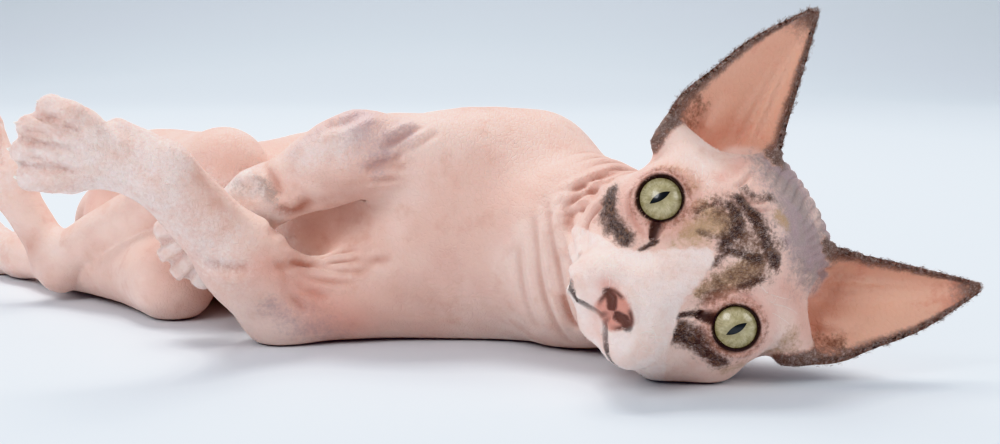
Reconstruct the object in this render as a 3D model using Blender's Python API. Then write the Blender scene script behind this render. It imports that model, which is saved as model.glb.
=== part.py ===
"""A hairless cat lying on its left side, life size, parted into its natural pieces.

Lengths are written in millimetres and turned into metres when a mesh is made.
The world frame: +X from tail to head, +Y from the belly side to the back, +Z up from the floor.
The head has its own frame: x to the animal's right, y out of the face, z up through the crown,
with its origin midway between the eyeballs.

The flesh is one smooth surface round a set of tapered bones and muscle masses. A voxel remesh of
those masses gives the first closed mesh, and its points are then drawn onto the smooth surface.
"""

import math

import bmesh
import bpy
import numpy as np
from mathutils import Matrix, Vector

MM = 0.001
GAP = 0.3  # between touching pieces
VOXEL = 1.25  # of the first mesh
FLESH_TRIANGLES = 14000
FACE_CARE = 0.02  # how much less the face is thinned than the rest, as a share of edge length

SKIN = (0.80, 0.58, 0.50)
EAR_SKIN = (0.76, 0.50, 0.40)
IRIS = (0.62, 0.66, 0.42)

# Head.
HEAD_AT = np.array([61.9, -83.4, 38.2])
HEAD_RIGHT = np.array([-0.498, 0.182, 0.848])
HEAD_FORWARD = np.array([-0.101, -0.983, 0.151])
HEAD_UP = np.array([0.861, -0.010, 0.508])
HEAD_FRAME = np.array([HEAD_RIGHT, HEAD_FORWARD, HEAD_UP])

THIGH_OUT_R, THIGH_OUT_L = (-0.40, -0.50, 0.77), (-0.63, -0.78, -0.1)
THIGH_START = 6.0  # how far from the hip a thigh is parted from the trunk
THIGH_DEPTH = 12.0  # and how far in from its middle on the belly side

EYE_SIDE = 21.5
EYE_RADIUS = 10.8
EYE_TURN = math.radians(10)  # outwards from straight ahead
CORNEA_EDGE = 0.78  # where the clear front starts to rise, as a share of the radius
CORNEA_RISE = 0.16
LID_RADIUS = 8.5  # of the bowl that opens the lids
LID_THICK = 1.9

# Lines of the right half of the face, in the head's frame.
NOSTRIL = ((1.7, 31.5, -28.8), (4.2, 30.0, -27.0), (5.6, 27.5, -27.6))
LIPS = ((0, 30.5, -31.5), (0, 28.5, -35.5), (7, 26.0, -37.8), (14.5, 17.0, -35.5), (19.5, 8.0, -30.5))

# Spine and limbs: joints in the world frame.
NECK_BASE = (30, -20, 32)
NECK_TOP = (54, -50, 30)
NAPE, NAPE_WAY = (45, -45, 31), (0.82, -0.57, 0.05)  # where and how the head is parted
TORSO = (  # centre, half width across the ribs, half depth from back to belly
    ((24, -10, 31), 31, 31),
    ((-8, 20, 36), 38.5, 43),
    ((-39, 45, 34.5), 37.5, 44),
    ((-70, 70, 30), 32.5, 40),
    ((-101, 95, 26.5), 28.5, 35),
    ((-132, 120, 25.5), 28, 33),
    ((-156, 142, 21.5), 22, 26),
)
SHOULDER_R, ELBOW_R, WRIST_R, TOES_R = (14, 8, 60), (-49, -13, 66), (-84, -5, 49), (-119, -1, 24)
SHOULDER_L, ELBOW_L, WRIST_L, TOES_L = (4, 4, 18), (-76, -14, 13.5), (-111, -53, 63.5), (-154, -72, 77)
HIP_R, KNEE_R, HOCK_R, HINDTOES_R = (-140, 114, 38), (-103, 38, 54), (-175, 74, 15), (-216, 92, 77)
HIP_L, KNEE_L, HOCK_L, HINDTOES_L = (-140, 116, 20), (-122, 34, 15), (-180, 100, 10), (-224, 152, 9)
TAIL = (
    (-160, 146, 22), (-176, 166, 15), (-174, 190, 9), (-150, 210, 7), (-112, 220, 6),
    (-72, 214, 5), (-40, 196, 4), (-18, 172, 3),
)
TAIL_RADII = (11, 8.5, 7, 6.2, 5.4, 4.6, 3.8, 3.0)


def unit(v):
    """A vector of length one along v."""
    v = np.asarray(v, float)
    return v / np.linalg.norm(v)


def head_point(x, y, z):
    """The world place of a point in the head's own frame."""
    return HEAD_AT + np.array([x, y, z], float) @ HEAD_FRAME


class Mass:
    """A tapered rod with round ends, or an egg where both ends are the same point.

    squeeze gives the rod's size across one direction as a share of its size across the other, and
    axes and radii give an egg its own frame and its three half sizes.
    """

    def __init__(self, a, b, ra, rb, across=None, squeeze=1.0, soft=6.0):
        self.a, self.b = np.array(a, float), np.array(b, float)
        self.ra, self.rb = ra, rb
        self.across = None if across is None else unit(across)
        self.squeeze = squeeze
        self.soft = soft

    def distance(self, p):
        """How far each point is outside the mass, about in millimetres."""
        a, b, q = self.a, self.b, p
        if self.across is not None:
            q = self.flattened(p)
            a, b = self.flattened(self.a[None])[0], self.flattened(self.b[None])[0]
        along = b - a
        reach = float(along @ along)
        t = np.clip(((q - a) @ along) / max(reach, 1e-9), 0, 1)
        gap = np.linalg.norm(q - a - t[:, None] * along, axis=1)
        return (gap - (self.ra + t * (self.rb - self.ra))) * min(1.0, self.squeeze)

    def flattened(self, p):
        """Points stretched across the thin direction, so that the flat rod becomes round."""
        offset = (p - self.a) @ self.across
        return p + offset[:, None] * self.across * (1 / self.squeeze - 1)

    def hull(self):
        """Corner points whose convex hull is this mass, for the first mesh."""
        steps = [unit(v) for v in BALL_CORNERS]
        found = []
        for centre, radius in ((self.a, self.ra), (self.b, self.rb)):
            for step in steps:
                offset = step * radius
                if self.across is not None:
                    offset = offset + self.across * (offset @ self.across) * (self.squeeze - 1)
                found.append(centre + offset)
        return found


class Egg:
    """An ellipsoid with three half sizes along its own axes."""

    def __init__(self, centre, radii, frame, soft=6.0):
        self.centre, self.radii = np.array(centre, float), np.array(radii, float)
        self.frame, self.soft = frame, soft

    def distance(self, p):
        """How far each point is outside the egg, about in millimetres."""
        q = (p - self.centre) @ self.frame.T
        near = np.linalg.norm(q / self.radii, axis=1)
        slope = np.linalg.norm(q / self.radii**2, axis=1)
        return near * (near - 1) / np.maximum(slope, 1e-6)

    def hull(self):
        """Corner points whose convex hull is this egg."""
        return [self.centre + (unit(v) * self.radii) @ self.frame for v in BALL_CORNERS]


def ball_corners(rings=9, sides=14):
    """Points spread over a ball, in rings from pole to pole."""
    found = [(0, 0, 1), (0, 0, -1)]
    for i in range(1, rings):
        polar = math.pi * i / rings
        for k in range(sides):
            turn = 2 * math.pi * (k + 0.5 * (i % 2)) / sides
            found.append(
                (math.sin(polar) * math.cos(turn), math.sin(polar) * math.sin(turn), math.cos(polar))
            )
    return found


BALL_CORNERS = ball_corners()


def blended(first, second, soft):
    """The union of two distances, with a fillet as wide as soft."""
    reach = np.maximum(soft - np.abs(first - second), 0) / np.maximum(soft, 1e-6)
    return np.minimum(first, second) - reach * reach * soft / 4


def carved(body, hollow, soft):
    """What is left of a body where a hollow is cut from it, with its edge rounded."""
    return -blended(-body, hollow, soft)


def torso_masses():
    """The trunk, as overlapping flattened rods from station to station."""
    found = []
    for (a, wide_a, deep_a), (b, wide_b, deep_b) in zip(TORSO, TORSO[1:]):
        ratio = (wide_a + wide_b) / (deep_a + deep_b)
        found.append(Mass(a, b, deep_a, deep_b, across=(0, 0, 1), squeeze=ratio, soft=14))
    return found


def paw_masses(wrist, toes, dorsal, breadth, thumb):
    """A paw: the palm, four toes with their pads, and the heel pad.

    wrist and toes are where it starts and ends, dorsal is the way its back faces, breadth is its
    half width over the toes, and thumb is +1 or -1 for the side that the dew claw is on, or 0.
    """
    wrist, toes = np.array(wrist, float), np.array(toes, float)
    along = unit(toes - wrist)
    dorsal = unit(np.array(dorsal, float) - along * float(np.array(dorsal, float) @ along))
    side = np.cross(along, dorsal) * (thumb or 1)
    length = float(np.linalg.norm(toes - wrist))
    knuckle = wrist + along * length * 0.58
    found = [
        Mass(wrist, knuckle, 9.5, 10.5, across=dorsal, squeeze=0.82, soft=6),
        Mass(knuckle - side * breadth * 0.35, knuckle + side * breadth * 0.35, 8, 8, across=dorsal,
             squeeze=0.85, soft=5),
        Mass(knuckle - dorsal * 5 - side * 4, knuckle - dorsal * 5 + side * 4, 5.5, 5.5, soft=4),
    ]
    for place, reach in ((-0.75, 0.92), (-0.26, 1.0), (0.26, 1.0), (0.75, 0.90)):
        root = knuckle + side * place * breadth * 0.78
        tip = wrist + along * (length * reach - 5.0) + side * place * breadth * 1.02
        joint = (root + tip) / 2 + dorsal * 2.4
        found.append(Mass(root, joint, 5.0, 4.9, soft=2.6))
        found.append(Mass(joint, tip, 4.9, 4.7, soft=2.2))
        found.append(Mass(tip - dorsal * 2.2 - along * 1.5, tip - dorsal * 2.4, 3.4, 3.4, soft=2))
    if thumb:
        base = wrist + along * length * 0.16 + side * 8.0 - dorsal * 1.0
        found.append(Mass(base, base + along * 8.0 + side * 2.5 - dorsal * 1.5, 4.4, 3.6, soft=3.5))
    return found


def foreleg_masses(shoulder, elbow, wrist, stout):
    """The upper arm over the ribs, the elbow and the forearm; stout is the elbow's radius."""
    elbow, wrist = np.array(elbow, float), np.array(wrist, float)
    return [
        Mass(shoulder, elbow, 18, stout, soft=12),
        Mass(elbow, elbow + (wrist - elbow) * 0.35, stout - 0.3, stout - 1.0, soft=9),
        Mass(elbow + (wrist - elbow) * 0.3, wrist, stout - 0.9, 10.6, soft=9),
    ]


def hindleg_masses(hip, knee, hock, toes, thigh):
    """The thigh, the knee, the shin, the hock and the long foot up to its toes."""
    hock, toes = np.array(hock, float), np.array(toes, float)
    heel = hock - unit(toes - hock) * 5
    return [
        Mass(hip, knee, thigh, 15.5, soft=14),
        Mass(knee, hock, 14.5, 9.0, soft=9),
        Mass(heel, hock + (toes - hock) * 0.5, 8.6, 8.4, soft=6),
    ]


def tail_masses():
    """The tail, tapering along the floor."""
    return [
        Mass(a, b, ra, rb, soft=5)
        for a, b, ra, rb in zip(TAIL, TAIL[1:], TAIL_RADII, TAIL_RADII[1:])
    ]


def head_masses():
    """The skull, muzzle, brows, cheeks and jaw, in the order in which they are blended."""

    def egg(x, y, z, rx, ry, rz, soft):
        return Egg(head_point(x, y, z), (rx, ry, rz), HEAD_FRAME, soft)

    def rod(a, b, ra, rb, soft):
        return Mass(head_point(*a), head_point(*b), ra, rb, soft=soft)

    found = [
        egg(0, -24, 12, 29, 33, 27.5, 8),
        rod((-11, -26, 24.5), (11, -26, 24.5), 15, 15, 12),
        egg(0, -3, 13, 19, 17, 19, 12),
        rod((0, 2, 4), (0, 15, -20), 12.5, 10.0, 10),
    ]
    ball = EYE_RADIUS + LID_THICK
    for s in (1, -1):
        found += [
            egg(s * 23, -14, -7, 12.8, 21, 15, 10),
            rod((s * 13, 3, 12), (s * 28, -5, 11.5), 7, 7, 8),
            rod((s * 12, 6, -14), (s * 27, -8, -12), 8, 8, 7),
            rod((s * 9, 14, -28), (s * 20, -16, -22), 9, 12, 8),
            egg(s * 8.8, 18.0, -30.3, 10.0, 11.0, 8.4, 5),
            rod((s * 26, -20, 9), (s * 37, -14, 12), 11, 4.2, 10),
            rod((s * 37, -12, 14), (s * 17, -13, 24), 3.6, 4.4, 9),
            egg(s * EYE_SIDE, 0, 0, ball, ball, ball, 5),
        ]
    found += [
        rod((0, 12.5, -35.0), (0, -6, -31), 6.6, 12, 5),
        egg(0, 24.8, -27.3, 6.4, 5.6, 5.2, 4),
    ]
    return found


def neck_masses():
    """The neck, from between the shoulders to the back of the skull."""
    return [Mass(NECK_BASE, NECK_TOP, 30, 27, across=HEAD_RIGHT, squeeze=0.95, soft=16)]


def limb_groups():
    """Each limb's masses, the place where it joins the trunk, and how far its fillet reaches."""
    return {
        "foreleg_right": (
            foreleg_masses(SHOULDER_R, ELBOW_R, WRIST_R, 13)
            + paw_masses(WRIST_R, TOES_R, (0.2, -0.96, 0.18), 14, -1),
            SHOULDER_R, 75, 16,
        ),
        "foreleg_left": (
            foreleg_masses(SHOULDER_L, ELBOW_L, WRIST_L, 14.5)
            + paw_masses(WRIST_L, TOES_L, (0.49, -0.87, 0.0), 15, 1),
            SHOULDER_L, 92, 14,
        ),
        "hindleg_right": (
            hindleg_masses(HIP_R, KNEE_R, HOCK_R, HINDTOES_R, 25)
            + paw_masses(
                np.array(HOCK_R) * 0.52 + np.array(HINDTOES_R) * 0.48, HINDTOES_R, (0.78, -0.1, 0.62), 13, 0
            ),
            HIP_R, 58, 16,
        ),
        "hindleg_left": (
            hindleg_masses(HIP_L, KNEE_L, HOCK_L, HINDTOES_L, 23)
            + paw_masses(
                np.array(HOCK_L) * 0.52 + np.array(HINDTOES_L) * 0.48, HINDTOES_L, (0.7, 0.5, 0.5), 13, 0
            ),
            HIP_L, 58, 16,
        ),
        "tail": (tail_masses(), TAIL[0], 26, 10),
    }


TRUNK = torso_masses()
NECK = neck_masses()
HEAD = head_masses()
LIMBS = limb_groups()


def merged(masses, p, far=30.0):
    """The blended distance of a group of masses; well away from them it is only a lower bound."""
    corners = np.array([c for m in masses for c in m.hull()])
    outside = np.maximum(np.maximum(corners.min(0) - p, p - corners.max(0)), 0)
    total = np.linalg.norm(outside, axis=1)
    near = total < far
    q = p[near]
    if len(q):
        part = masses[0].distance(q)
        for mass in masses[1:]:
            part = blended(part, mass.distance(q), mass.soft)
        total[near] = part
    return total


def eye_axis(side):
    """The way an eye looks, in the world frame."""
    return np.array([side * math.sin(EYE_TURN), math.cos(EYE_TURN), 0.0]) @ HEAD_FRAME


def eye_frame(side):
    """An eye's own axes: across, forward and up."""
    axis = eye_axis(side)
    across = unit(np.cross(axis, HEAD_UP))
    return np.array([across, axis, np.cross(across, axis)])


def slope_of(distance, p, step):
    """The gradient of a distance at each point."""
    here = distance(p)
    return here, np.stack([(distance(p + step * np.eye(3)[k]) - here) / step for k in range(3)], axis=1)


def pressed(p, distance, passes, step=0.05, most=2.5):
    """Points moved along the slope of a distance until they lie on its surface."""
    for _ in range(passes):
        here, slope = slope_of(distance, p, step)
        size = np.maximum(np.linalg.norm(slope, axis=1), 0.3)
        p = p - slope / size[:, None] * np.clip(here / size, -most, most)[:, None]
    return p


def face_line(side, places):
    """A line through places of one side of the face, pressed onto the masses of the head."""
    line = np.array([head_point(side * x, y, z) for x, y, z in places])
    return pressed(line, lambda q: merged(HEAD, q), passes=8)


def chain_distance(p, places, radius):
    """How far each point is outside a thin string of rods."""
    gaps = [Mass(a, b, radius, radius).distance(p) for a, b in zip(places, places[1:])]
    return np.minimum.reduce(gaps)


FACE_LINES = {side: (face_line(side, NOSTRIL), face_line(side, LIPS)) for side in (1, -1)}


def head_distance(p):
    """The head with its lids, nostrils, mouth line and the hollows of its ears."""
    body = merged(HEAD, p)
    for side in (1, -1):
        bowl_at = head_point(side * EYE_SIDE, 0, 0) + eye_axis(side) * (EYE_RADIUS + 2.0)
        bowl = Egg(bowl_at, (LID_RADIUS + 0.2, 6.5, LID_RADIUS - 0.3), eye_frame(side))
        body = carved(body, bowl.distance(p), 1.0)
        body = carved(body, chain_distance(p, FACE_LINES[side][0], 1.2), 0.8)
        body = carved(body, chain_distance(p, FACE_LINES[side][1], 0.8), 1.6)
        hollow = Egg(head_point(side * 33, -18, 32), (10.5, 7.5, 13), HEAD_FRAME)
        body = carved(body, hollow.distance(p), 5.0)
        canal = Mass(head_point(side * 30, -17, 27), head_point(side * 24, -22, 15), 6.5, 3.0)
        body = carved(body, canal.distance(p), 4.0)
    return body


def flesh_distance(p):
    """The whole animal without its ears and eyes."""
    body = blended(merged(TRUNK, p), merged(NECK, p), 22)
    for masses, root, reach, soft in LIMBS.values():
        near = 1 - np.linalg.norm(p - np.array(root, float), axis=1) / reach
        fillet = soft * np.clip(near * 2.5, 0.02, 1)
        body = blended(body, merged(masses, p), fillet)
    return blended(body, head_distance(p), 7)


def drawn_to_surface(p, passes=5):
    """Points moved until they lie on the flesh's surface."""
    return pressed(p, flesh_distance, passes)


def coordinates(mesh):
    """A mesh's points, in millimetres."""
    flat = np.empty(len(mesh.vertices) * 3)
    mesh.vertices.foreach_get("co", flat)
    return flat.reshape(-1, 3) / MM


def place(mesh, points):
    """Writes points in millimetres back to a mesh."""
    mesh.vertices.foreach_set("co", (np.asarray(points) * MM).astype(np.float32).ravel())
    mesh.update()


def add_object(name, mesh):
    """A new object in the scene."""
    obj = bpy.data.objects.new(name, mesh)
    bpy.context.scene.collection.objects.link(obj)
    return obj


def apply_modifiers(obj):
    """Makes what the modifiers show the object's own mesh."""
    bpy.context.view_layer.update()
    graph = bpy.context.evaluated_depsgraph_get()
    made = bpy.data.meshes.new_from_object(obj.evaluated_get(graph))
    obj.modifiers.clear()
    old, obj.data = obj.data, made
    bpy.data.meshes.remove(old)


def refined(obj):
    """Finer triangles on the face, for its lids, lips and nostrils."""
    local = (coordinates(obj.data) - HEAD_AT) @ HEAD_FRAME.T
    face = np.linalg.norm((local - (0, 12, -10)) / (34, 30, 36), axis=1) < 1
    bm = bmesh.new()
    bm.from_mesh(obj.data)
    bm.verts.ensure_lookup_table()
    edges = [e for e in bm.edges if face[e.verts[0].index] and face[e.verts[1].index]]
    bmesh.ops.subdivide_edges(bm, edges=edges, cuts=1, use_grid_fill=True)
    bmesh.ops.triangulate(bm, faces=bm.faces[:])
    bm.to_mesh(obj.data)
    bm.free()


def first_mesh():
    """The masses as convex hulls in one mesh, remeshed into one closed surface."""
    bm = bmesh.new()
    limb_masses = [m for masses, *_ in LIMBS.values() for m in masses]
    for mass in TRUNK + NECK + HEAD + limb_masses:
        points = [bm.verts.new(Vector(c) * MM) for c in mass.hull()]
        made = bmesh.ops.convex_hull(bm, input=points)
        inner = [v for v in made["geom_interior"] if isinstance(v, bmesh.types.BMVert)]
        bmesh.ops.delete(bm, geom=inner, context="VERTS")
    mesh = bpy.data.meshes.new("flesh")
    bm.to_mesh(mesh)
    bm.free()
    obj = add_object("flesh", mesh)
    remesh = obj.modifiers.new("one surface", "REMESH")
    remesh.mode = "VOXEL"
    remesh.voxel_size = VOXEL * MM
    apply_modifiers(obj)
    return obj


def relaxed(obj, passes):
    """Evens out the spacing of the points."""
    smooth = obj.modifiers.new("even", "SMOOTH")
    smooth.factor, smooth.iterations = 0.5, passes
    apply_modifiers(obj)


def largest_only(obj):
    """Drops the specks that the remesh leaves beside the main surface."""
    bm = bmesh.new()
    bm.from_mesh(obj.data)
    groups = islands(bm)
    keep = set(max(groups, key=len))
    bmesh.ops.delete(bm, geom=[f for f in bm.faces if f not in keep], context="FACES")
    bm.to_mesh(obj.data)
    bm.free()


def thin_out(obj):
    """Fewer triangles, with the face kept finer than the body."""
    group = obj.vertex_groups.new(name="plain")
    local = (coordinates(obj.data) - HEAD_AT) @ HEAD_FRAME.T
    face = np.clip(1.3 - np.linalg.norm((local - (0, 12, -12)) / (36, 34, 38), axis=1), 0, 1)
    for index, share in enumerate(face):
        group.add([index], 1.0 - 0.5 * float(share), "REPLACE")
    thin = obj.modifiers.new("thin", "DECIMATE")
    thin.ratio = FLESH_TRIANGLES / (2 * len(obj.data.polygons))
    thin.vertex_group = group.name
    thin.vertex_group_factor = FACE_CARE
    thin.use_collapse_triangulate = True
    apply_modifiers(obj)


def cut(obj, cutter, operation="DIFFERENCE"):
    """Changes an object by a cutter, and removes the cutter."""
    tool = obj.modifiers.new("cut", "BOOLEAN")
    tool.operation, tool.solver, tool.object = operation, "MANIFOLD", cutter
    apply_modifiers(obj)
    bpy.data.objects.remove(cutter)


def capped(bm):
    """Closes every open loop of edges with a flat face of triangles."""
    loose = {e for e in bm.edges if len(e.link_faces) == 1}
    made = []
    while loose:
        edge = loose.pop()
        loop, start, tip = [edge], edge.verts[0], edge.verts[1]
        while tip is not start:
            following = [e for e in tip.link_edges if e in loose]
            if not following:
                break
            loose.discard(following[0])
            loop.append(following[0])
            tip = following[0].other_vert(tip)
        made += bmesh.ops.contextual_create(bm, geom=loop)["faces"]
    bmesh.ops.triangulate(bm, faces=made, ngon_method="EAR_CLIP")


def sliced(bm, centre, normal, radius):
    """Takes a slice as thick as the gap out of what lies within a radius of a place."""
    centre, normal = Vector(centre) * MM, Vector(unit(normal))
    for shift in (GAP / 2, -GAP / 2):
        plane = centre + normal * shift * MM
        near = [
            f for f in bm.faces
            if (f.calc_center_median() - centre).length < radius * MM
            and min((v.co - plane) @ normal for v in f.verts) < 1e-6
            and max((v.co - plane) @ normal for v in f.verts) > -1e-6
        ]
        parts = {v for f in near for v in f.verts} | {e for f in near for e in f.edges}
        bmesh.ops.bisect_plane(
            bm, geom=near + list(parts), dist=1e-6, plane_co=plane, plane_no=normal
        )
    inside = [
        f for f in bm.faces
        if all(abs((v.co - centre) @ normal) < (GAP / 2 + 0.01) * MM for v in f.verts)
        and (f.calc_center_median() - centre).length < radius * 1.2 * MM
    ]
    bmesh.ops.delete(bm, geom=inside, context="FACES")
    capped(bm)


def levelled(bm):
    """Cuts the flats that the animal rests on."""
    bmesh.ops.bisect_plane(
        bm, geom=bm.verts[:] + bm.edges[:] + bm.faces[:], dist=1e-6,
        plane_co=(0, 0, 0), plane_no=(0, 0, 1), clear_inner=True,
    )
    capped(bm)


def between(a, b, share):
    """The point that far along from a to b."""
    return np.array(a, float) * (1 - share) + np.array(b, float) * share


def blades():
    """The thin cuts that part the flesh, as centre, normal and radius."""
    neck_way = unit(np.array(NECK_TOP, float) - NECK_BASE)
    found = [
        (NAPE, NAPE_WAY, 50),
        (between(NECK_BASE, NECK_TOP, 0.10), neck_way, 44),
        (between(TAIL[1], TAIL[2], 0.1), unit(np.array(TAIL[2], float) - TAIL[1]), 14),
    ]
    for elbow, wrist, toes, share in (
        (ELBOW_R, WRIST_R, TOES_R, 0.48), (ELBOW_L, WRIST_L, TOES_L, 0.22)
    ):
        found.append((between(elbow, wrist, share), unit(np.subtract(wrist, elbow)), 19))
        found.append((between(wrist, toes, 0.0), unit(np.subtract(toes, elbow)), 18))
    for hock, toes in ((HOCK_R, HINDTOES_R), (HOCK_L, HINDTOES_L)):
        found.append((between(hock, toes, 0.14), unit(np.subtract(toes, hock)), 14))
    return found


def thigh_block(hip, knee, outward, margin):
    """A block round a thigh, with one face between it and the belly and one face at the hip."""
    hip, knee = np.array(hip, float), np.array(knee, float)
    along = unit(knee - hip)
    out = unit(np.array(outward, float) - along * float(np.array(outward, float) @ along))
    side = np.cross(along, out)
    lo = np.array([THIGH_START - margin, -THIGH_DEPTH - margin, -70.0])
    hi = np.array([130.0, 110.0, 70.0])
    bm = bmesh.new()
    bmesh.ops.create_cube(bm, size=1.0)
    for v in bm.verts:
        part = lo + (np.array(v.co[:]) + 0.5) * (hi - lo)
        v.co = Vector((hip + part[0] * along + part[1] * out + part[2] * side) * MM)
    bm.normal_update()
    mesh = bpy.data.meshes.new("thigh block")
    bm.to_mesh(mesh)
    bm.free()
    return add_object("thigh block", mesh)


PIECES = {  # a place near the surface of each piece, to name it by
    "head": head_point(0, 31, -29),
    "neck": between(NECK_BASE, NECK_TOP, 0.7) + 27 * HEAD_RIGHT,
    "torso": np.array(TORSO[2][0]) + (0, 0, 36),
    "right_foreleg": between(ELBOW_R, WRIST_R, 0.6),
    "right_forepaw": between(WRIST_R, TOES_R, 0.5),
    "left_foreleg": between(ELBOW_L, WRIST_L, 0.6),
    "left_forepaw": between(WRIST_L, TOES_L, 0.5),
    "right_hindfoot": between(HOCK_R, HINDTOES_R, 0.6),
    "left_hindfoot": between(HOCK_L, HINDTOES_L, 0.6),
    "tail": TAIL[4],
}


def islands(bm):
    """The separate surfaces, each as a list of faces."""
    todo, found = set(bm.faces), []
    while todo:
        queue = [todo.pop()]
        group = list(queue)
        while queue:
            for edge in queue.pop().edges:
                for other in edge.link_faces:
                    if other in todo:
                        todo.discard(other)
                        group.append(other)
                        queue.append(other)
        found.append(group)
    return found


def parted(flesh):
    """Splits the flesh at its cuts and names each piece by the place inside it."""
    bm = bmesh.new()
    bm.from_mesh(flesh.data)
    bmesh.ops.triangulate(bm, faces=bm.faces[:])
    for blade in blades():
        sliced(bm, *blade)
    levelled(bm)
    bmesh.ops.recalc_face_normals(bm, faces=bm.faces[:])
    groups = islands(bm)
    found = {}
    for name, inside in PIECES.items():
        centre = Vector(inside) * MM
        best = min(groups, key=lambda g: min((f.calc_center_median() - centre).length for f in g))
        found[name] = island_mesh(name, best)
        groups.remove(best)
    bm.free()
    bpy.data.objects.remove(flesh)
    return found


def part_thigh(pieces, name, hip, knee, outward):
    """Takes a hind leg off the trunk as a piece of its own."""
    trunk = pieces["torso"]
    leg = add_object(name, trunk.data.copy())
    cut(leg, thigh_block(hip, knee, outward, 0.0), "INTERSECT")
    cut(trunk, thigh_block(hip, knee, outward, GAP))
    largest_body(leg)
    largest_body(trunk)
    pieces[name] = leg


def island_mesh(name, faces):
    """One separate surface as its own mesh."""
    points = {v: i for i, v in enumerate({v: None for f in faces for v in f.verts})}
    mesh = bpy.data.meshes.new(name)
    mesh.from_pydata([v.co[:] for v in points], [], [[points[v] for v in f.verts] for f in faces])
    return mesh


# Ears, in the head's frame, for the right side; the left mirrors it.
EAR_MEDIAL = ((9, -14, 26), (16.5, -16, 38), (26, -19, 48), (37, -22, 60), (52.5, -25, 76.0))
EAR_LATERAL = ((40, -9, 8), (48.0, -9, 21), (50.5, -12, 34), (53.5, -18, 52), (52.5, -25, 76.0))
EAR_DEPTH = (19, 18, 14, 8, 0)  # how far its back bulges behind its edges
EAR_FOOT = -np.array([0.0, 0.6, 6.0])  # how its first row is set into the head
EAR_BACK = unit((-0.15, -1.0, 0.10))
EAR_THICK = 2.4
EAR_RIM = 1.5
EAR_ROWS, EAR_COLUMNS = 16, 14


def along_curve(stations, t):
    """A smooth value at t from 0 to 1 along evenly spaced stations."""
    stations = np.atleast_2d(np.array(stations, float).T).T
    count = len(stations) - 1
    place_at = min(max(t, 0.0), 1.0) * count
    i = min(int(place_at), count - 1)
    f = place_at - i
    p = [stations[min(max(i + k, 0), count)] for k in (-1, 0, 1, 2)]
    return 0.5 * (
        2 * p[1] + (p[2] - p[0]) * f + (2 * p[0] - 5 * p[1] + 4 * p[2] - p[3]) * f**2
        + (3 * p[1] - p[0] - 3 * p[2] + p[3]) * f**3
    )


def ear_point(u, v):
    """The middle of the ear's thickness: u from root to tip, v from the crown edge to the cheek edge."""
    medial, lateral = along_curve(EAR_MEDIAL, u), along_curve(EAR_LATERAL, u)
    depth = float(along_curve(EAR_DEPTH, u)[0])
    share = (v + 1) / 2
    bow = math.cos(v * math.pi / 2) ** 0.8 if abs(v) < 1 else 0.0
    return medial * (1 - share) + lateral * share + EAR_BACK * depth * bow


def ear_mesh(side):
    """A cupped ear as a closed sheet, its root sunk into the head."""
    tip_share = 0.965
    front, back = [], []
    for i in range(EAR_ROWS + 1):
        u = tip_share * i / EAR_ROWS
        for k in range(EAR_COLUMNS + 1):
            v = -1 + 2 * k / EAR_COLUMNS
            here = ear_point(u, v)
            du = ear_point(min(u + 0.02, 1), v) - ear_point(max(u - 0.02, 0), v)
            dv = ear_point(u, min(v + 0.05, 1)) - ear_point(u, max(v - 0.05, -1))
            normal = unit(np.cross(dv, du))
            if normal @ EAR_BACK > 0:
                normal = -normal
            half = (EAR_RIM + (EAR_THICK - EAR_RIM) * (1 - abs(v)) * (1 - u)) / 2
            root = EAR_FOOT * (i == 0)
            front.append(here + normal * half + root)
            back.append(here - normal * half + root)
    wide = EAR_COLUMNS + 1
    count = len(front)
    faces = []
    for i in range(EAR_ROWS):
        for k in range(EAR_COLUMNS):
            a, b, c, d = (i * wide + k, i * wide + k + 1, (i + 1) * wide + k + 1, (i + 1) * wide + k)
            faces.append((a, b, c, d))
            faces.append((count + d, count + c, count + b, count + a))
    rim = (
        [k for k in range(wide)]
        + [i * wide + wide - 1 for i in range(1, EAR_ROWS + 1)]
        + [EAR_ROWS * wide + k for k in range(wide - 2, -1, -1)]
        + [i * wide for i in range(EAR_ROWS - 1, 0, -1)]
    )
    for a, b in zip(rim, rim[1:] + rim[:1]):
        faces.append((b, a, count + a, count + b))
    points = np.array(front + back) * (side, 1, 1)
    mesh = bpy.data.meshes.new("ear")
    mesh.from_pydata([tuple((HEAD_AT + p @ HEAD_FRAME) * MM) for p in points], [], faces)
    bm = bmesh.new()
    bm.from_mesh(mesh)
    bmesh.ops.recalc_face_normals(bm, faces=bm.faces)
    bm.to_mesh(mesh)
    bm.free()
    return mesh


def head_swollen(head_mesh):
    """A copy of the head, larger by the gap, to cut the ears' roots with."""
    bm = bmesh.new()
    bm.from_mesh(head_mesh)
    bm.normal_update()
    for v in bm.verts:
        v.co += v.normal * GAP * 1.3 * MM
    mesh = bpy.data.meshes.new("head cutter")
    bm.to_mesh(mesh)
    bm.free()
    return add_object("head cutter", mesh)


def largest_body(obj):
    """Keeps only the largest of an object's separate surfaces."""
    bm = bmesh.new()
    bm.from_mesh(obj.data)
    todo, best = set(bm.verts), []
    while todo:
        queue = [todo.pop()]
        group = list(queue)
        while queue:
            for edge in queue.pop().link_edges:
                for v in edge.verts:
                    if v in todo:
                        todo.discard(v)
                        group.append(v)
                        queue.append(v)
        best = max(best, group, key=len)
    keep = set(best)
    bmesh.ops.delete(bm, geom=[v for v in bm.verts if v not in keep], context="VERTS")
    bm.to_mesh(obj.data)
    bm.free()


def socket_ball(side):
    """A ball that is larger than the eyeball by the gap, to cut its socket with."""
    bm = bmesh.new()
    bmesh.ops.create_uvsphere(bm, u_segments=40, v_segments=24, radius=(EYE_RADIUS + GAP) * MM)
    bm.transform(eye_place(side))
    mesh = bpy.data.meshes.new("socket")
    bm.to_mesh(mesh)
    bm.free()
    return add_object("socket", mesh)


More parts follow.
